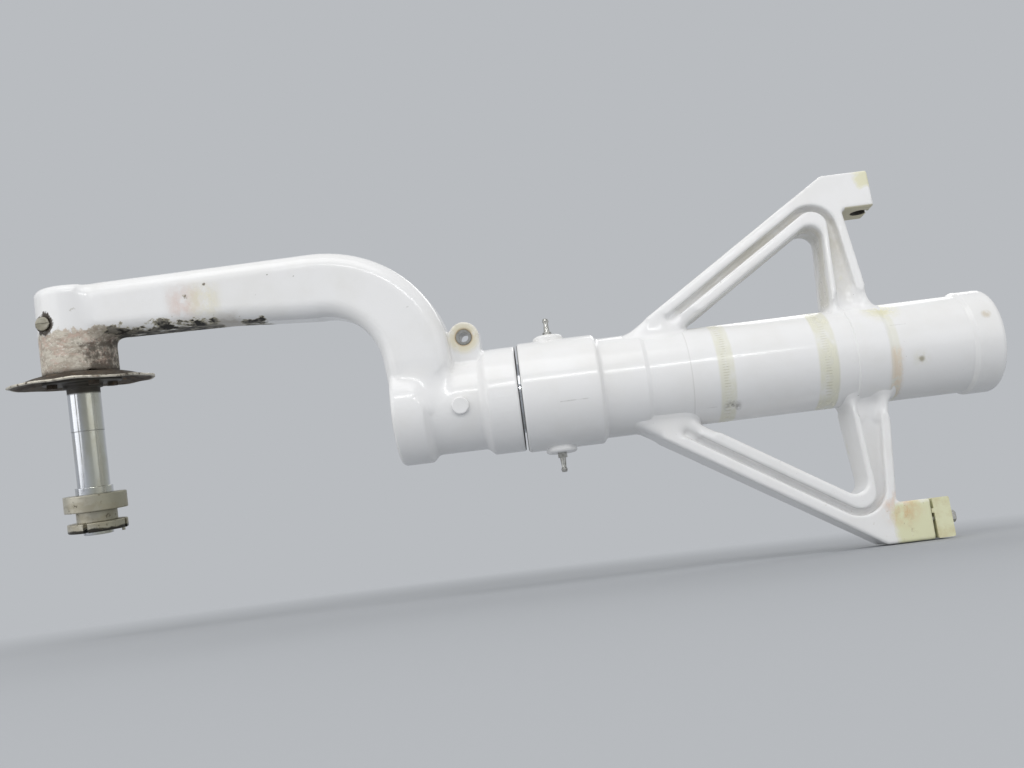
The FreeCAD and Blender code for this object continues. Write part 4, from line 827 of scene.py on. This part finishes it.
class STRUT_OT_stage(bpy.types.Operator):
    """Set the floor, the lamps, the room and the camera"""
    bl_idname = "strut.stage"
    bl_label = "Stage"

    def execute(self, context):
        stage = context.scene.strut_stage
        self.floor(stage)
        self.room(context.scene, stage)
        # Each lamp's name, power, size and place, and the point that it faces
        self.lamp("key_lamp", stage.key, (1.6, 1.2), (-0.75, -1.05, 1.75), (-0.38, 0, 0))
        self.lamp("strip_lamp", stage.strip, (1.7, 0.035), (-0.35, -2.05, 1.05), (-0.38, 0, 0.02))
        self.lamp("side_lamp", stage.side, (2.0, 1.4), (-2.2, -1.1, 0.45), (-0.6, 0, 0))
        self.lamp("far_side_lamp", stage.side * 0.6, (1.8, 1.4), (1.4, -1.6, 0.45), (-0.4, 0, 0))
        self.lamp("back_lamp", stage.key * 0.6, (1.2, 0.9), (0.5, 1.7, 1.5), (-0.38, 0, 0))
        self.camera(context.scene, stage)
        return {"FINISHED"}

    def floor(self, stage):
        middle = (-0.4, 0, FLOOR_Z)
        shape = bmesh.new()
        bmesh.ops.create_grid(shape, x_segments=1, y_segments=1, size=9.0,
                              matrix=Matrix.Translation(middle))
        floor = new_piece("floor", shape)
        coat = Finish("pale_floor", "#A3A6AA", 0.9, Metallic=0.0)
        coat.close()
        # Towards its far edge the floor takes the room's own colour, so that no horizon shows
        away = coat.add("ShaderNodeVectorMath", {0: coat.place, 1: middle},
                        operation="DISTANCE").outputs["Value"]
        far = coat.add("ShaderNodeMapRange", {
            "Value": away, "From Min": 0.30, "From Max": 1.10},
            interpolation_type="SMOOTHSTEP").outputs[0]
        seen = coat.add("ShaderNodeLightPath").outputs["Is Camera Ray"]
        room = coat.add("ShaderNodeEmission", {
            "Color": tuple(stage.backdrop), "Strength": 1.0}).outputs[0]
        mixed = coat.add("ShaderNodeMixShader", {
            0: coat.times(far, seen), 1: coat.shader.outputs[0], 2: room}).outputs[0]
        coat.tree.links.new(mixed, coat.output.inputs["Surface"])
        floor.data.materials.append(coat.material)

    def room(self, scene, stage):
        world = bpy.data.worlds.new("room")
        world.use_nodes = True
        tree = world.node_tree
        tree.nodes.clear()
        # Even light for the surfaces, and the backdrop's colour to the eye and to shiny metal
        even = add_node(tree, "ShaderNodeBackground", {
            "Color": (1, 1, 1, 1), "Strength": stage.room}).outputs[0]
        backdrop = add_node(tree, "ShaderNodeBackground", {
            "Color": tuple(stage.backdrop), "Strength": 1.0}).outputs[0]
        rays = add_node(tree, "ShaderNodeLightPath").outputs
        seen = rays["Is Camera Ray"]
        for ray in ("Is Glossy Ray", "Is Transmission Ray"):
            seen = add_node(tree, "ShaderNodeMath", {0: seen, 1: rays[ray]},
                            operation="MAXIMUM").outputs[0]
        mixed = add_node(tree, "ShaderNodeMixShader", {0: seen, 1: even, 2: backdrop}).outputs[0]
        add_node(tree, "ShaderNodeOutputWorld", {"Surface": mixed})
        scene.world = world
        scene.view_settings.view_transform = "Standard"

    def lamp(self, name, power, size, place, towards):
        light = bpy.data.lights.new(name, "AREA")
        light.energy = power
        light.shape = "RECTANGLE"
        light.size, light.size_y = size
        lamp = bpy.data.objects.new(name, light)
        bpy.context.scene.collection.objects.link(lamp)
        lamp.location = place
        lamp.rotation_euler = (Vector(towards) - Vector(place)).to_track_quat("-Z", "Y").to_euler()

    def camera(self, scene, stage):
        data = bpy.data.cameras.new("camera")
        data.sensor_width = 36.0
        data.lens = stage.lens
        camera = bpy.data.objects.new("camera", data)
        scene.collection.objects.link(camera)
        turn, rise, roll = math.radians(1.0), math.radians(-10.0), math.radians(-7.0)
        back = Vector((math.sin(turn) * math.cos(rise), -math.cos(turn) * math.cos(rise),
                       math.sin(rise)))
        aim, distance = Vector((-0.3745, 0, 0.016)), 0.96
        camera.location = aim + back * distance
        camera.rotation_mode = "QUATERNION"
        camera.rotation_quaternion = (-back).to_track_quat("-Z", "Y") @ Quaternion((0, 0, 1), roll)
        data.clip_start, data.clip_end = 0.01, 50.0
        scene.camera = camera


class STRUT_PT_panel(bpy.types.Panel):
    """Pieces and finishes of the strut"""
    bl_idname = "STRUT_PT_panel"
    bl_label = "Landing gear strut"
    bl_space_type = "VIEW_3D"
    bl_region_type = "UI"
    bl_category = "Strut"

    def draw(self, context):
        for group in ("strut_look", "strut_forging", "strut_stage"):
            settings = getattr(context.scene, group)
            box = self.layout.box()
            for name in settings.__annotations__:
                box.prop(settings, name)
        for operator in OPERATORS:
            self.layout.operator(operator.bl_idname)


OPERATORS = (STRUT_OT_half_fork, STRUT_OT_frames, STRUT_OT_brake_plate, STRUT_OT_paint,
             STRUT_OT_metals, STRUT_OT_seals, STRUT_OT_stage)
CLASSES = (StrutLook, StrutForging, StrutStage, *OPERATORS, STRUT_PT_panel)


def register():
    for made in CLASSES:
        bpy.utils.register_class(made)
    bpy.types.Scene.strut_look = bpy.props.PointerProperty(type=StrutLook)
    bpy.types.Scene.strut_forging = bpy.props.PointerProperty(type=StrutForging)
    bpy.types.Scene.strut_stage = bpy.props.PointerProperty(type=StrutStage)


def unregister():
    for group in ("strut_stage", "strut_forging", "strut_look"):
        delattr(bpy.types.Scene, group)
    for made in reversed(CLASSES):
        bpy.utils.unregister_class(made)


def main():
    register()
    for operator in (bpy.ops.strut.half_fork, bpy.ops.strut.frames, bpy.ops.strut.brake_plate,
                     bpy.ops.strut.paint, bpy.ops.strut.metals, bpy.ops.strut.seals,
                     bpy.ops.strut.stage):
        operator()


if __name__ == "__main__":
    main()
